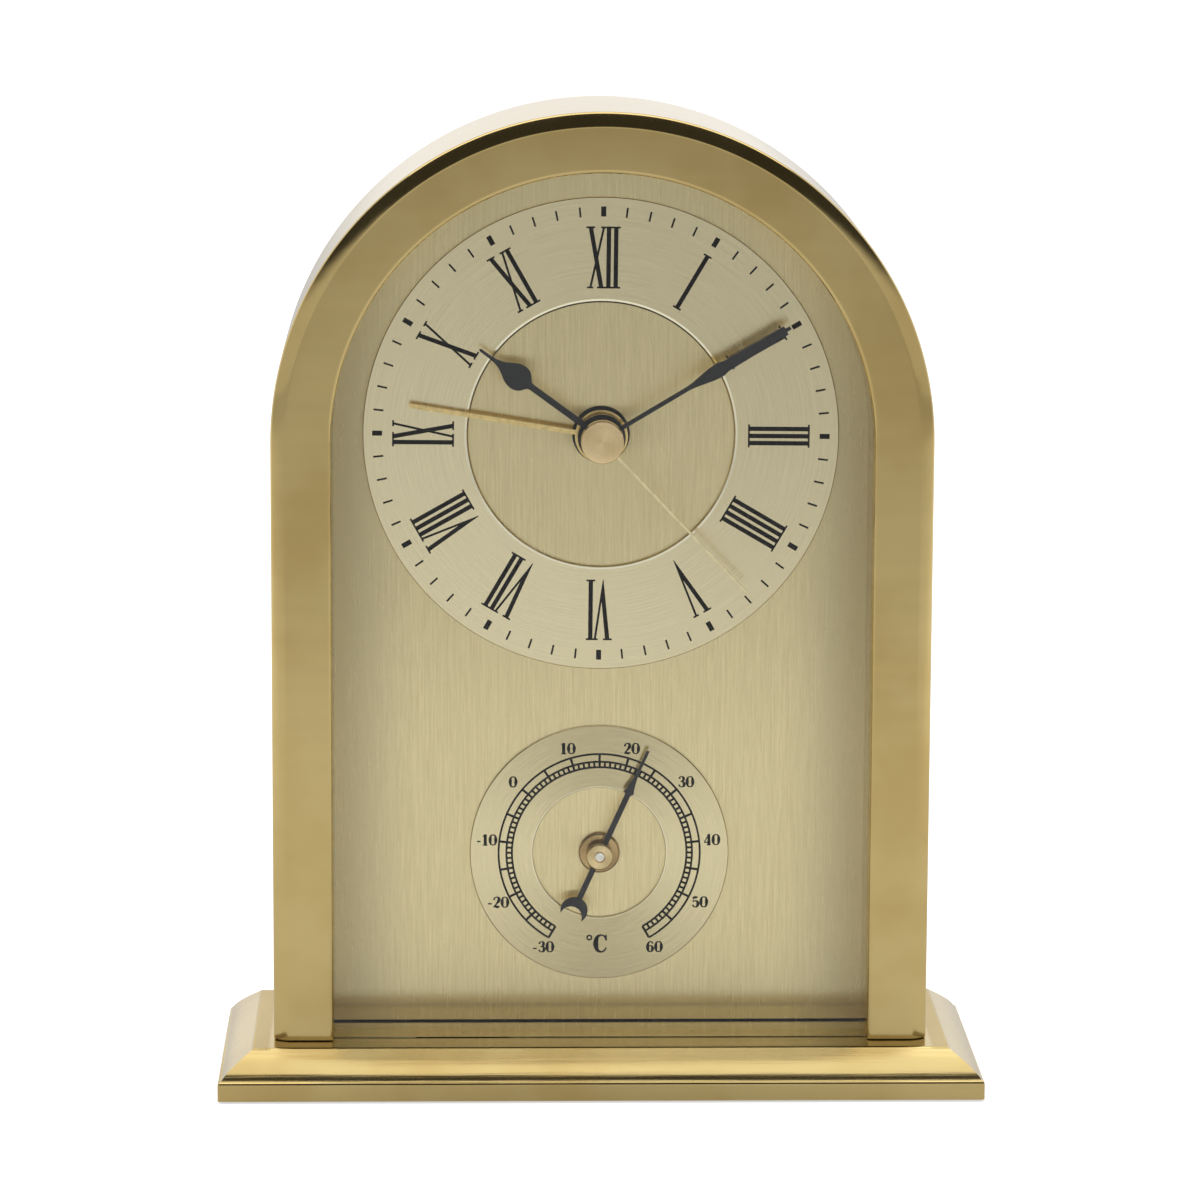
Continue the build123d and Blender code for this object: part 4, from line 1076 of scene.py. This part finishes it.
# Figures of the scale as pen strokes: (across, up, width) for a figure one unit tall
glyphs = {
    "0": [
        [(0.31, 0.965, 0.07), (0.50, 0.87, 0.12), (0.56, 0.5, 0.23), (0.50, 0.13, 0.12), (0.31, 0.035, 0.07)],
        [(0.31, 0.965, 0.07), (0.12, 0.87, 0.12), (0.06, 0.5, 0.23), (0.12, 0.13, 0.12), (0.31, 0.035, 0.07)],
    ],
    "1": [
        [(0.27, 0.0, 0.22), (0.27, 0.5, 0.22), (0.27, 1.0, 0.22)],
        [(0.05, 0.03, 0.07), (0.27, 0.03, 0.08), (0.49, 0.03, 0.07)],
        [(0.30, 0.95, 0.08), (0.17, 0.87, 0.08), (0.04, 0.84, 0.06)],
    ],
    "2": [
        [(0.09, 0.70, 0.16), (0.10, 0.86, 0.10), (0.30, 0.96, 0.08), (0.49, 0.86, 0.18), (0.48, 0.64, 0.22)]
        + [(0.30, 0.38, 0.12), (0.07, 0.10, 0.08), (0.05, 0.02, 0.05)],
        [(0.05, 0.07, 0.06), (0.20, 0.11, 0.16), (0.40, 0.07, 0.16), (0.56, 0.15, 0.06)],
    ],
    "3": [
        [(0.10, 0.77, 0.17), (0.14, 0.91, 0.09), (0.29, 0.965, 0.07), (0.45, 0.88, 0.17), (0.45, 0.68, 0.19)]
        + [(0.36, 0.56, 0.10), (0.20, 0.53, 0.06)],
        [(0.20, 0.53, 0.06), (0.40, 0.49, 0.11), (0.51, 0.34, 0.22), (0.47, 0.13, 0.18), (0.29, 0.035, 0.07)]
        + [(0.12, 0.09, 0.09), (0.08, 0.24, 0.17)],
    ],
    "4": [
        [(0.42, 0.0, 0.20), (0.42, 0.5, 0.20), (0.42, 1.0, 0.20)],
        [(0.40, 0.97, 0.08), (0.21, 0.62, 0.07), (0.03, 0.28, 0.07)],
        [(0.0, 0.26, 0.08), (0.30, 0.26, 0.08), (0.60, 0.26, 0.08)],
        [(0.25, 0.03, 0.07), (0.42, 0.03, 0.08), (0.59, 0.03, 0.07)],
    ],
    "5": [
        [(0.09, 0.97, 0.05), (0.12, 0.92, 0.15), (0.34, 0.91, 0.16), (0.50, 0.97, 0.05)],
        [(0.10, 0.96, 0.07), (0.09, 0.72, 0.06), (0.08, 0.48, 0.05)],
        [(0.08, 0.50, 0.06), (0.28, 0.60, 0.09), (0.47, 0.50, 0.18), (0.51, 0.30, 0.22), (0.43, 0.10, 0.15)]
        + [(0.26, 0.035, 0.07), (0.11, 0.09, 0.09), (0.08, 0.24, 0.17)],
    ],
    "6": [
        [(0.50, 0.78, 0.16), (0.46, 0.92, 0.08), (0.34, 0.965, 0.07), (0.17, 0.86, 0.13), (0.09, 0.60, 0.21)]
        + [(0.09, 0.34, 0.22), (0.16, 0.11, 0.13), (0.32, 0.035, 0.07)],
        [(0.14, 0.44, 0.05), (0.24, 0.57, 0.06), (0.36, 0.59, 0.08), (0.49, 0.48, 0.16), (0.52, 0.31, 0.21)]
        + [(0.47, 0.12, 0.14), (0.32, 0.035, 0.07)],
    ],
    "-": [[(0.02, 0.36, 0.10), (0.18, 0.36, 0.10), (0.34, 0.36, 0.10)]],
    "C": [
        [(0.66, 0.70, 0.06), (0.58, 0.89, 0.07), (0.40, 0.965, 0.07), (0.19, 0.85, 0.15), (0.11, 0.5, 0.22)]
        + [(0.19, 0.15, 0.15), (0.40, 0.035, 0.07), (0.58, 0.11, 0.07), (0.67, 0.28, 0.06)],
        [(0.68, 0.66, 0.05), (0.665, 0.82, 0.08), (0.66, 1.0, 0.05)],
    ],
}
glyphWidths = {"0": 0.62, "1": 0.52, "2": 0.60, "3": 0.60, "4": 0.62, "5": 0.60, "6": 0.62}
glyphWidths.update({"-": 0.36, "C": 0.74})


def smoothPath(points, steps=5):
    # a curve through every point, with its width carried along
    ends = [Vector(points[0]) * 2 - Vector(points[1])] + [Vector(p) for p in points]
    ends.append(Vector(points[-1]) * 2 - Vector(points[-2]))
    path = []
    for first in range(len(points) - 1):
        a, b, c, d = ends[first:first + 4]
        for step in range(steps):
            t = step / steps
            bend = 2 * a - 5 * b + 4 * c - d
            twist = 3 * b - a - 3 * c + d
            path.append(0.5 * (2 * b + (c - a) * t + bend * t**2 + twist * t**3))
    return path + [Vector(points[-1])]


def inkStroke(points, place, level):
    path = smoothPath(points)
    left = []
    right = []
    for index, point in enumerate(path):
        ahead = path[min(index + 1, len(path) - 1)] - path[max(index - 1, 0)]
        side = Vector((-ahead.y, ahead.x)).normalized() * point.z * scaleSet["figureWeight"] / 2
        left.append(place(point.x + side.x, point.y + side.y))
        right.append(place(point.x - side.x, point.y - side.y))
    inkFace(left + right[::-1], level)


def drawGlyph(character, middle, height, left):
    # the strokes of one figure, whose left side is that share of its height from the middle
    def place(across, up):
        return middle + height * Vector((left + across, 0, up - 0.5))

    for level, stroke in enumerate(glyphs[character]):
        inkStroke(stroke, place, level)


def makeScaleFigures():
    depth = inkDepth("thermometer_ring")
    piece = startPiece("scaleFigures")
    for degrees in range(scaleSet["coldest"], scaleSet["hottest"] + 1, 10):
        text = str(degrees)
        gap = scaleSet["figureGap"]
        width = sum(glyphWidths[character] for character in text) + gap * (len(text) - 1)
        turn = scaleTurn(degrees)
        radius = scaleSet["figureRadius"] + scaleSet["figureSpread"] * abs(math.sin(math.radians(turn)))
        middle = onDial(thermoAt, depth, turn, 0, radius)
        left = -width / 2
        for character in text:
            drawGlyph(character, middle, scaleSet["figureHeight"], left)
            left += glyphWidths[character] + gap
    unit = onDial(thermoAt, depth, 180, 0, scaleSet["unitDrop"])
    letterAt = unit + Vector((scaleSet["unitShift"], 0, 0))
    drawGlyph("C", letterAt, scaleSet["unitHeight"], -glyphWidths["C"] / 2)
    ringAt = unit + Vector((scaleSet["degreeAt"][0], 0, scaleSet["degreeAt"][1]))
    outer = ringAt + Vector((scaleSet["degreeRing"], 0, 0))
    drawLine([outer - Vector((scaleSet["degreePen"], 0, 0)), outer])
    bpy.ops.mesh.select_linked()
    bpy.ops.mesh.spin(steps=32, angle=math.tau, center=ringAt, axis=(0, 1, 0))
    bpy.ops.mesh.select_linked()
    bpy.ops.mesh.remove_doubles(threshold=weld)
    bpy.ops.mesh.select_linked()
    extrudeBy(0, -inkSet["proud"] - inkSet["sink"], 0)
    cleanUp()
    return finishPiece(piece, "case", "black_hand", "ink")


# Hands: a flat blade with softened edges, an eye and a collar on its pipe
handSet = {"blade": 0.4 * mm, "soften": 0.05 * mm, "wall": 0.6 * mm}
handAngles = {"alarm": 279.2, "hour": 306.1, "minute": 59.0, "second": 136.5, "pointer": 24.3}


def curvePoints(start, startPull, endPull, end, steps=8):
    points = []
    for step in range(steps + 1):
        t = step / steps
        weights = ((1 - t) ** 3, 3 * t * (1 - t) ** 2, 3 * t * t * (1 - t), t**3)
        pairs = zip(weights, (start, startPull, endPull, end))
        points.append(sum((weight * Vector(point) for weight, point in pairs), Vector((0, 0))))
    return points


def drawBlade(name, centre, turn, right, front):
    # right is the blade's right edge from its root, in millimetres; the left edge mirrors it
    piece = startPiece(name)
    left = [(-across, out) for across, out in reversed(right) if abs(across) > 0.001]
    drawFace([onDial(centre, front, turn, across * mm, out * mm) for across, out in [*right, *left]])
    extrudeBy(0, handSet["blade"], 0)
    cleanUp()
    rounded(piece, handSet["soften"], 50)
    return piece


def addCollar(piece, centre, eye, pipe, front, low, high):
    # a round eye, on a collar where the hand is pressed on a pipe
    back = front + handSet["blade"]
    if high - low > 2 * handSet["blade"]:
        outer = pipe + handSet["wall"]
        profile = [(pipe, low), (outer, low), (outer, front), (eye, front)]
        profile += [(eye, back), (outer, back), (outer, high), (pipe, high), (pipe, low)]
        combine(piece, makeLathe("eye", centre, profile, 96), "UNION")
    else:
        combine(piece, addRod("eye", centre, eye, front, back), "UNION")
    cleanUp()


# right edges of the blades, from the root out, in millimetres
hourOutline = [(0.56, 2.6), (0.56, 14.6)]
hourOutline += curvePoints((0.56, 14.9), (0.62, 15.6), (2.25, 15.6), (2.25, 17.6))[1:]
hourOutline += curvePoints((2.25, 17.6), (2.25, 19.7), (0.32, 20.2), (0.30, 23.2))[1:]
hourOutline += [(0.24, 25.4), (0.0, 25.7)]
minuteOutline = [(0.39, 1.8), (0.39, 16.6)]
minuteOutline += curvePoints((0.39, 17.0), (0.45, 18.8), (1.2, 20.6), (1.26, 23.3))[1:]
minuteOutline += [(0.98, 24.3), (0.82, 36.1), (0.33, 36.15), (0.31, 37.0)]
secondOutline = [(0.29, 0), (0.18, 35.8)]
alarmOutline = [(0.42, 3.3), (0.40, 33.0)]
pointerOutline = [(0.5, -8.7), (0.5, 11.7), (0.9, 12.0)]
pointerOutline += curvePoints((0.9, 12.0), (0.5, 13.4), (0.30, 14.6), (0.28, 16.0))[1:]
pointerOutline += [(0.28, 20.1)]
# name, node, outline, radii of the eye and the pipe in millimetres, body, slot and finish
hands = {
    "alarm": ("alarmBar", "alarm_hand", alarmOutline, 4.5, 3.0, "alarm", "gold_hand", "goldHand"),
    "hour": ("hourSpade", "hour_hand", hourOutline, 4.05, 2.3, "hours", "black_hand", "handBlack"),
    "minute": ("minuteLeaf", "minute_hand", minuteOutline, 3.4, 1.5, "minutes", "black_hand", "handBlack"),
    "second": ("secondBar", "second_hand", secondOutline, 1.8, 0.5, "seconds", "gold_hand", "paleGold"),
}


def bareBack(piece):
    # the paint is on the front only, and the edges and back show the metal
    piece.data.materials.append(finishes["paleGold"])
    for face in piece.data.polygons:
        if face.normal.y > -0.3:
            face.material_index = 1


def makeHands():
    for key, (name, node, outline, eye, pipe, body, slot, finish) in hands.items():
        low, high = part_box(node)
        front = (low.y + high.y - handSet["blade"]) / 2
        piece = drawBlade(name, dialAt, handAngles[key], outline, front)
        addCollar(piece, dialAt, eye * mm, pipe * mm, front, low.y, high.y)
        finishPiece(piece, body, slot, finish, [node])
        if finish == "handBlack":
            bareBack(piece)


pointerSet = {
    "eye": 1.9 * mm,
    "arbor": 0.8 * mm,
    "moonAt": 10.6 * mm,
    "moon": 2.35 * mm,
    "bite": 1.9 * mm,
    "biteShift": 1.35 * mm,
    "pinEdge": 0.25 * mm,
}


def makePointer():
    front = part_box("thermometer_pointer")[0].y
    back = front + handSet["blade"]
    turn = handAngles["pointer"]
    piece = drawBlade("pointerArrow", thermoAt, turn, pointerOutline, front)
    moonAt = onDial(thermoAt, front, turn, 0, -pointerSet["moonAt"])
    biteAt = onDial(thermoAt, front, turn, 0, -pointerSet["moonAt"] - pointerSet["biteShift"])
    combine(piece, addRod("moon", moonAt, pointerSet["moon"], front, back), "UNION")
    combine(piece, addRod("bite", biteAt, pointerSet["bite"], front - mm, front + mm), "DIFFERENCE")
    addCollar(piece, thermoAt, pointerSet["eye"], pointerSet["arbor"], front, front, back)
    finishPiece(piece, "pointer", "black_hand", "handBlack", ["thermometer_pointer"])
    bareBack(piece)
    edge = pointerSet["pinEdge"]
    softenedCopy("pointerPin", "thermometer_arbor", "pointer", "steel", "paleSteel", edge)


capSet = {
    "rim": 0.22 * mm,
    "dish": 0.03 * mm,
    "dishCurve": (0.55, 0.6),
    "boss": 1.3 * mm,
    "disc": 1.8 * mm,
    "bore": 0.5 * mm,
    "roof": 0.8 * mm,
    "studRim": 0.35 * mm,
    "flangeRim": 0.45 * mm,
    "pinGap": 0.2 * mm,
    "pinGapDepth": 0.7 * mm,
    "play": 0.05 * mm,
    "barrel": 2.6 * mm,
}


def roundedRim(radius, front, rim, steps=4):
    # profile points that turn the front edge of a disc over into its side
    points = []
    for step in range(steps + 1):
        turn = math.pi / 2 * step / steps
        points.append((radius - rim * (1 - math.sin(turn)), front + rim * (1 - math.cos(turn))))
    return points


def turnedBox(node):
    # front, back and radius of a node turned about the dial's axis
    low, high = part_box(node)
    return low.y, high.y, (high.x - low.x) / 2


def makeCaps():
    front, back, radius = turnedBox("second_hand_cap")
    dish = capSet["dish"]
    out, share = capSet["dishCurve"]
    disc = front + capSet["disc"]
    roof = front + capSet["roof"]
    boss = capSet["boss"]
    bore = capSet["bore"]
    profile = [(0, front + dish), (radius * out, front + dish * share)]
    profile += roundedRim(radius, front, capSet["rim"])
    profile += [(radius, disc), (boss, disc), (boss, back), (bore, back), (bore, roof), (0, roof)]
    piece = makeLathe("secondCap", dialAt, profile, 128)
    finishPiece(piece, "seconds", "polished_brass", "turnedCap", ["second_hand_cap"])

    front, back, radius = turnedBox("thermometer_cap")
    hole = pointerSet["arbor"]
    gap = hole + capSet["pinGap"]
    gapEnd = front + capSet["pinGapDepth"]
    profile = [(hole, back), (hole, gapEnd), (gap, gapEnd), (gap, front)]
    profile += roundedRim(radius, front, capSet["studRim"])
    profile += [(radius, back), (hole, back)]
    piece = makeLathe("pointerCap", thermoAt, profile, 96)
    finishPiece(piece, "pointer", "polished_brass", "turnedStud", ["thermometer_cap"])

    front, back, radius = turnedBox("thermometer_bush")
    hole = pointerSet["arbor"] + capSet["play"]
    barrel = capSet["barrel"]
    profile = [(hole, back), (hole, front)]
    profile += roundedRim(radius, front, capSet["flangeRim"])
    profile += [(radius, plateFront), (barrel, plateFront), (barrel, back), (hole, back)]
    piece = makeLathe("pointerBush", thermoAt, profile, 96)
    finishPiece(piece, "case", "polished_brass", "turnedBush", ["thermometer_bush"])


# Felt under the plinth
feltSet = {"edge": 0.3 * mm}


def makeFeltPad():
    low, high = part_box("base_felt")
    size = high - low
    piece = addBlock("feltPad", (low + high) / 2, size)
    bpy.ops.object.mode_set(mode="EDIT")
    pick(piece, "edges", lambda edge: True)
    bpy.ops.mesh.bevel(offset=feltSet["edge"], segments=3, affect="EDGES")
    cleanUp()
    finishPiece(piece, "case", "felt", "greenFelt", ["base_felt"])


# Back: cover and movement housing, their screws, the setting knobs, the alarm switch and the cell
# node and edge width of the two mouldings
backSet = {"backCover": ("back_cover", 0.35 * mm), "movementHousing": ("movement_back_shell", 0.3 * mm)}


def makeHousing():
    for name, (node, edge) in backSet.items():
        softenedCopy(name, node, "case", "black_plastic", "blackPlastic", edge)


# sizes of the two kinds of screw, and the (x, z) places on one side that the other side mirrors
screwSet = {
    "coverScrews": {
        "node": "back_cover_screws",
        "head": (2.4 * mm, 1.3 * mm),
        "shank": 1.2 * mm,
        "dome": 0.75 * mm,
        "places": [(49.2 * mm, 22.2 * mm), (49.2 * mm, 76.2 * mm), (34.79 * mm, 145.79 * mm)],
    },
    "housingScrews": {
        "node": "movement_screws",
        "head": (1.9 * mm, 1.6 * mm),
        "shank": 0.95 * mm,
        "dome": 0.3 * mm,
        "places": [(26.0 * mm, 128.0 * mm), (26.0 * mm, 93.4 * mm)],
    },
}
recessSet = {"length": 1.3, "width": 0.3, "depth": 0.75 * mm, "twist": 0.9, "domeSteps": 6}


def makeScrews(name):
    sizes = screwSet[name]
    low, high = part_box(sizes["node"])
    radius, tall = sizes["head"]
    dome = sizes["dome"]
    seat = high.y - tall
    profile = [(0, low.y), (sizes["shank"], low.y), (sizes["shank"], seat), (radius, seat)]
    for step in range(recessSet["domeSteps"] + 1):
        turn = math.pi / 2 * step / recessSet["domeSteps"]
        profile.append((radius * math.cos(turn), high.y - dome + dome * math.sin(turn)))
    model = makeLathe(name, (0, 0, 0), profile, 48)
    for turn in (math.pi / 4, -math.pi / 4):
        size = (radius * recessSet["length"], 2 * recessSet["depth"], radius * recessSet["width"])
        combine(model, addBlock("recess", (0, high.y, 0), size, turn), "DIFFERENCE")
    cleanUp()
    copies = []
    for side in (-1, 1):
        for x, z in sizes["places"]:
            selectOnly(model)
            bpy.ops.object.duplicate()
            copy = bpy.context.object
            copy.rotation_euler.y = len(copies) * recessSet["twist"]
            copy.location = (side * x, 0, z)
            bpy.ops.object.transform_apply(location=True, rotation=True, scale=True)
            copies.append(copy)
    selectOnly(model)
    bpy.ops.object.delete()
    joinPieces(copies[0], copies[1:])
    copies[0].name = name
    finishPiece(copies[0], "case", "steel", "steel", [sizes["node"]])


knobSet = {
    "flutes": 20,
    "fluteRadius": 0.5 * mm,
    "points": 8,
    "dishWall": 1.3 * mm,
    "dish": 0.7 * mm,
    "bore": 1.0 * mm,
    "edge": 0.18 * mm,
}


def makeKnob(name, node, body):
    low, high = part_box(node)
    middle = (low + high) / 2
    radius = (high.x - low.x) / 2
    count = knobSet["flutes"] * knobSet["points"]
    outline = []
    for step in range(count):
        around = (step % knobSet["points"]) / knobSet["points"] - 0.5  # place between two ridges
        along = math.tau * radius / knobSet["flutes"] * around
        groove = math.sqrt(max(0.0, knobSet["fluteRadius"] ** 2 - along**2))
        outline.append(onDial(middle, low.y, 360 * step / count, 0, radius - groove))
    piece = startPiece(name)
    drawFace(outline)
    extrudeBy(0, high.y - low.y, 0)
    cleanUp()
    dish = addRod("dish", middle, radius - knobSet["dishWall"], high.y - knobSet["dish"], high.y + mm)
    combine(piece, dish, "DIFFERENCE")
    combine(piece, addRod("bore", middle, knobSet["bore"], low.y - mm, middle.y), "DIFFERENCE")
    rounded(piece, knobSet["edge"], 50)
    finishPiece(piece, body, "black_plastic", "softBlack", [node])


switchSet = {
    "button": 4.4 * mm,
    "stem": 2.6 * mm,
    "slider": 0.9 * mm,
    "height": 1.6 * mm,
    "ridges": 5,
    "ridge": 0.4 * mm,
    "ridgeShape": ((0.1, 1), (0.3, 0), (0.7, 0), (0.9, 1)),
    "overlap": 0.2 * mm,
    "sliderPlay": 0.05 * mm,
    "edge": 0.1 * mm,
}


def makeSwitch():
    low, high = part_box("alarm_switch")
    middle = (low + high) / 2
    half = switchSet["button"] / 2
    foot = high.y - switchSet["height"]
    pitch = switchSet["button"] / switchSet["ridges"]
    outline = [(middle.x - half, foot)]
    for ridge in range(switchSet["ridges"]):
        start = middle.x - half + ridge * pitch
        for across, drop in switchSet["ridgeShape"]:
            outline.append((start + across * pitch, high.y - drop * switchSet["ridge"]))
    outline.append((middle.x + half, foot))
    piece = startPiece("switchButton")
    drawFace([Vector((x, y, low.z)) for x, y in outline])
    extrudeBy(0, 0, switchSet["button"])
    cleanUp()
    rounded(piece, switchSet["edge"])
    stem = (switchSet["stem"], foot - low.y + switchSet["overlap"])
    slider = (switchSet["button"], switchSet["slider"] - switchSet["sliderPlay"])
    for name, (wide, deep) in {"stem": stem, "slider": slider}.items():
        block = addBlock(name, (middle.x, low.y + deep / 2, middle.z), (wide, deep, wide))
        combine(piece, block, "UNION")
    finishPiece(piece, "switch", "ivory_plastic", "ivoryPlastic", ["alarm_switch"])


# the cell's outline as (radius, distance from its flat end), then from its button end
cellSet = {
    "foot": [(0, 0.05), (4.8, 0.05), (5.1, 0.3), (5.9, 0.35), (6.3, 0.05), (6.9, 0.1), (7.25, 0.6)],
    "head": [(7.25, 2.0), (6.95, 1.4), (6.3, 1.3), (5.7, 1.6), (3.4, 1.6), (2.75, 1.3)]
    + [(2.75, 0.3), (2.4, 0), (0, 0)],
}


def makeCell():
    low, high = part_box("battery")
    middle = (low + high) / 2
    profile = [(radius * mm, low.x + away * mm) for radius, away in cellSet["foot"]]
    profile += [(radius * mm, high.x - away * mm) for radius, away in cellSet["head"]]
    piece = makeLathe("dryCell", (0, 0, 0), profile, 96)
    selectOnly(piece)
    piece.rotation_euler.z = -math.pi / 2  # from the lathe's axis to the cell's
    piece.location = (0, middle.y, middle.z)
    bpy.ops.object.transform_apply(location=True, rotation=True, scale=True)
    finishPiece(piece, "cell", "battery_wrap", "cellWrap", ["battery"])


markSet = {
    "proud": 0.12 * mm,
    "sink": 0.03 * mm,
    "words": [("OFF", -23.0, 116.0, 2.2), ("ON", -17.2, 116.0, 2.2)]
    + [("+", 19.0, 93.4, 4.0), ("-", -19.0, 93.4, 4.0)],
    "arrowGap": 1.7 * mm,
    "arrowPen": 0.5 * mm,
    "arrowHead": 1.0 * mm,
    "arrowSweep": (50, -34, -54),
}


def addWord(word, x, z, size, back):
    # place and size in millimetres
    selectNothing()
    bpy.ops.object.text_add(location=(x * mm, back, z * mm), rotation=(math.pi / 2, 0, math.pi))
    mark = bpy.context.object
    mark.data.body = word
    mark.data.size = size * mm
    mark.data.extrude = markSet["proud"]
    mark.data.align_x = "CENTER"
    mark.data.align_y = "CENTER"
    bpy.ops.object.convert(target="MESH")
    bpy.ops.object.transform_apply(location=True, rotation=True, scale=True)
    return bpy.context.object


def makeMarks():
    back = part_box("movement_back_shell")[1].y
    piece = startPiece("housingMarks")
    start, end, tip = markSet["arrowSweep"]
    for node in ("time_set_knob", "alarm_set_knob"):
        low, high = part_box(node)
        centre = (low + high) / 2
        centre.y = back - markSet["sink"]
        radius = (high.x - low.x) / 2 + markSet["arrowGap"]
        half = markSet["arrowPen"] / 2
        head = markSet["arrowHead"]
        corners = ((end, radius + head), (tip, radius), (end, radius - head))
        outline = arcPoints(centre, radius + half, start, end, 14)
        outline += [onDial(centre, centre.y, turn, 0, out) for turn, out in corners]
        outline += arcPoints(centre, radius - half, end, start, 14)
        drawFace(outline)
        extrudeBy(0, markSet["proud"] + markSet["sink"], 0)
    words = [addWord(*word, back) for word in markSet["words"]]
    joinPieces(piece, words)
    cleanUp()
    finishPiece(piece, "case", "ivory_plastic", "paleMark")


def makeBack():
    makeHousing()
    for name in screwSet:
        makeScrews(name)
    makeKnob("timeKnob", "time_set_knob", "minute_work")
    makeKnob("alarmKnob", "alarm_set_knob", "alarm_setting")
    makeSwitch()
    makeCell()
    makeMarks()


# CAD nodes that stay as they are, with the finish each one wears
carried = {
    "steel": "base_screws stud_nuts stator coil_core battery_contact_positive battery_contact_negative "
    "rotor clutch_spring thermometer_bracket timing_crystal alarm_stem minute_wheel",
    "ivoryPlastic": "train_plate intermediate_wheel second_wheel third_wheel centre_wheel minute_pipe "
    "hour_wheel alarm_wheel coil_bobbin",
    "blackPlastic": "movement_front_shell buzzer driver_chip",
    "goldHand": "panel_pillars clutch_collar bimetal_coil",
    "copper": "coil_winding",
    "boardGreen": "circuit_board",
}


def dressNodes():
    for finish, names in carried.items():
        for name in names.split():
            node = frame["nodes"][name]
            node.data.materials.clear()
            node.data.materials.append(finishes[finish])


# Studio: a white sweep behind, a dim room in front, and one wide soft lamp overhead
studio = {
    "behind": 1.05,
    "behindEdge": (0.02, 0.30),
    "room": 0.045,
    "horizon": 0.64,
    "horizonEdge": (0.26, 0.44),
    "ambient": 0.68,
    "lampSize": (1.8, 0.9),
    "lampAt": (0.0, 0.07, 1.2),
    "lampPower": 7.0,
    "floorSize": 40.0,
    "floorColour": 0.84,
    "floorLift": 0.6,
    "mottle": ((3, 3, 3), 2.0),
    "mottleShare": 0.1,
    "sideGlow": 0.3,
    "sideEdge": (0.12, 0.50),
    "frontDim": 0.16,
    "frontEdge": (-0.50, -0.26),
    "glowEdge": (-0.26, -0.06),
}


def makeStudio():
    world = bpy.data.worlds.new("studio")
    scene.world = world
    world.use_nodes = True
    world.node_tree.nodes.clear()
    start = Wire(world.node_tree)
    x, y, z = split(start, start.node("ShaderNodeTexCoord", None, None, "Object"))
    room = studio["room"] + studio["horizon"] * (1 - z.step(*studio["horizonEdge"]))
    mirrored = room + y.step(*studio["behindEdge"]) * (studio["behind"] - room)
    camera = ray(start, "Camera")
    metal = start.maths("MAXIMUM", ray(start, "Glossy"), ray(start, "Transmission"))
    level = camera + (1 - camera) * (metal * mirrored + (1 - metal) * studio["ambient"])
    glow = start.node("ShaderNodeBackground", None, {"Color": (1, 1, 1, 1), "Strength": level})
    start.node("ShaderNodeOutputWorld", None, {"Surface": glow})

    bpy.ops.object.light_add(type="AREA", location=studio["lampAt"])
    lamp = bpy.context.object
    lamp.data.shape = "RECTANGLE"
    lamp.data.size = studio["lampSize"][0]
    lamp.data.size_y = studio["lampSize"][1]
    lamp.data.energy = studio["lampPower"]

    selectNothing()
    bpy.ops.mesh.primitive_plane_add(size=studio["floorSize"])
    floor = bpy.context.object
    floor.name = "floor"
    material, start = newTree("paleFloor")
    camera = ray(start, "Camera")
    x, y, z = objectPlace(start)
    share = studio["mottleShare"]
    # painted shade: the floor's colour is darker farther in front of the clock, so the brass mirrors a dimmer
    # floor there
    shade = y.step(*studio["frontEdge"]) * (1 - share) + noise(start, *studio["mottle"]) * share
    pale = studio["floorColour"]
    paper = tint(start, shade, (pale * (1 - studio["frontDim"]),) * 3, (pale,) * 3)
    plain = start.node("ShaderNodeBsdfDiffuse", None, {"Color": paper})
    # painted light: beside the clock the floor glows for mirrored rays only, brightening the brass's edges in
    # reflection
    sides = start.maths("ABSOLUTE", x).step(*studio["sideEdge"]) * studio["sideGlow"]
    sides = ray(start, "Glossy") * sides * y.step(*studio["glowEdge"])
    glow = camera * studio["floorLift"] + (1 - camera) * sides
    lift = start.node("ShaderNodeEmission", None, {"Color": (1, 1, 1, 1), "Strength": glow})
    both = start.node("ShaderNodeAddShader", None, {0: plain, 1: lift})
    start.node("ShaderNodeOutputMaterial", None, {"Surface": both})
    floor.data.materials.append(material)
    scene.view_settings.view_transform = "Standard"


makeCamera()
makeStudio()
print("camera and studio ready")
makePlinth()
makeArch()
makeGlassPane()
makePlate()
for ringName, ringValues in rings.items():
    makeRing(ringName, *ringValues)
print("case, glass, plate and rings made")
makeFigures()
makeTicks()
makeScale()
makeScaleFigures()
print("printing done")
makeHands()
makePointer()
makeCaps()
makeFeltPad()
print("hands, caps and felt made")
makeBack()
print("back, knobs, switch and cell made")
dressNodes()
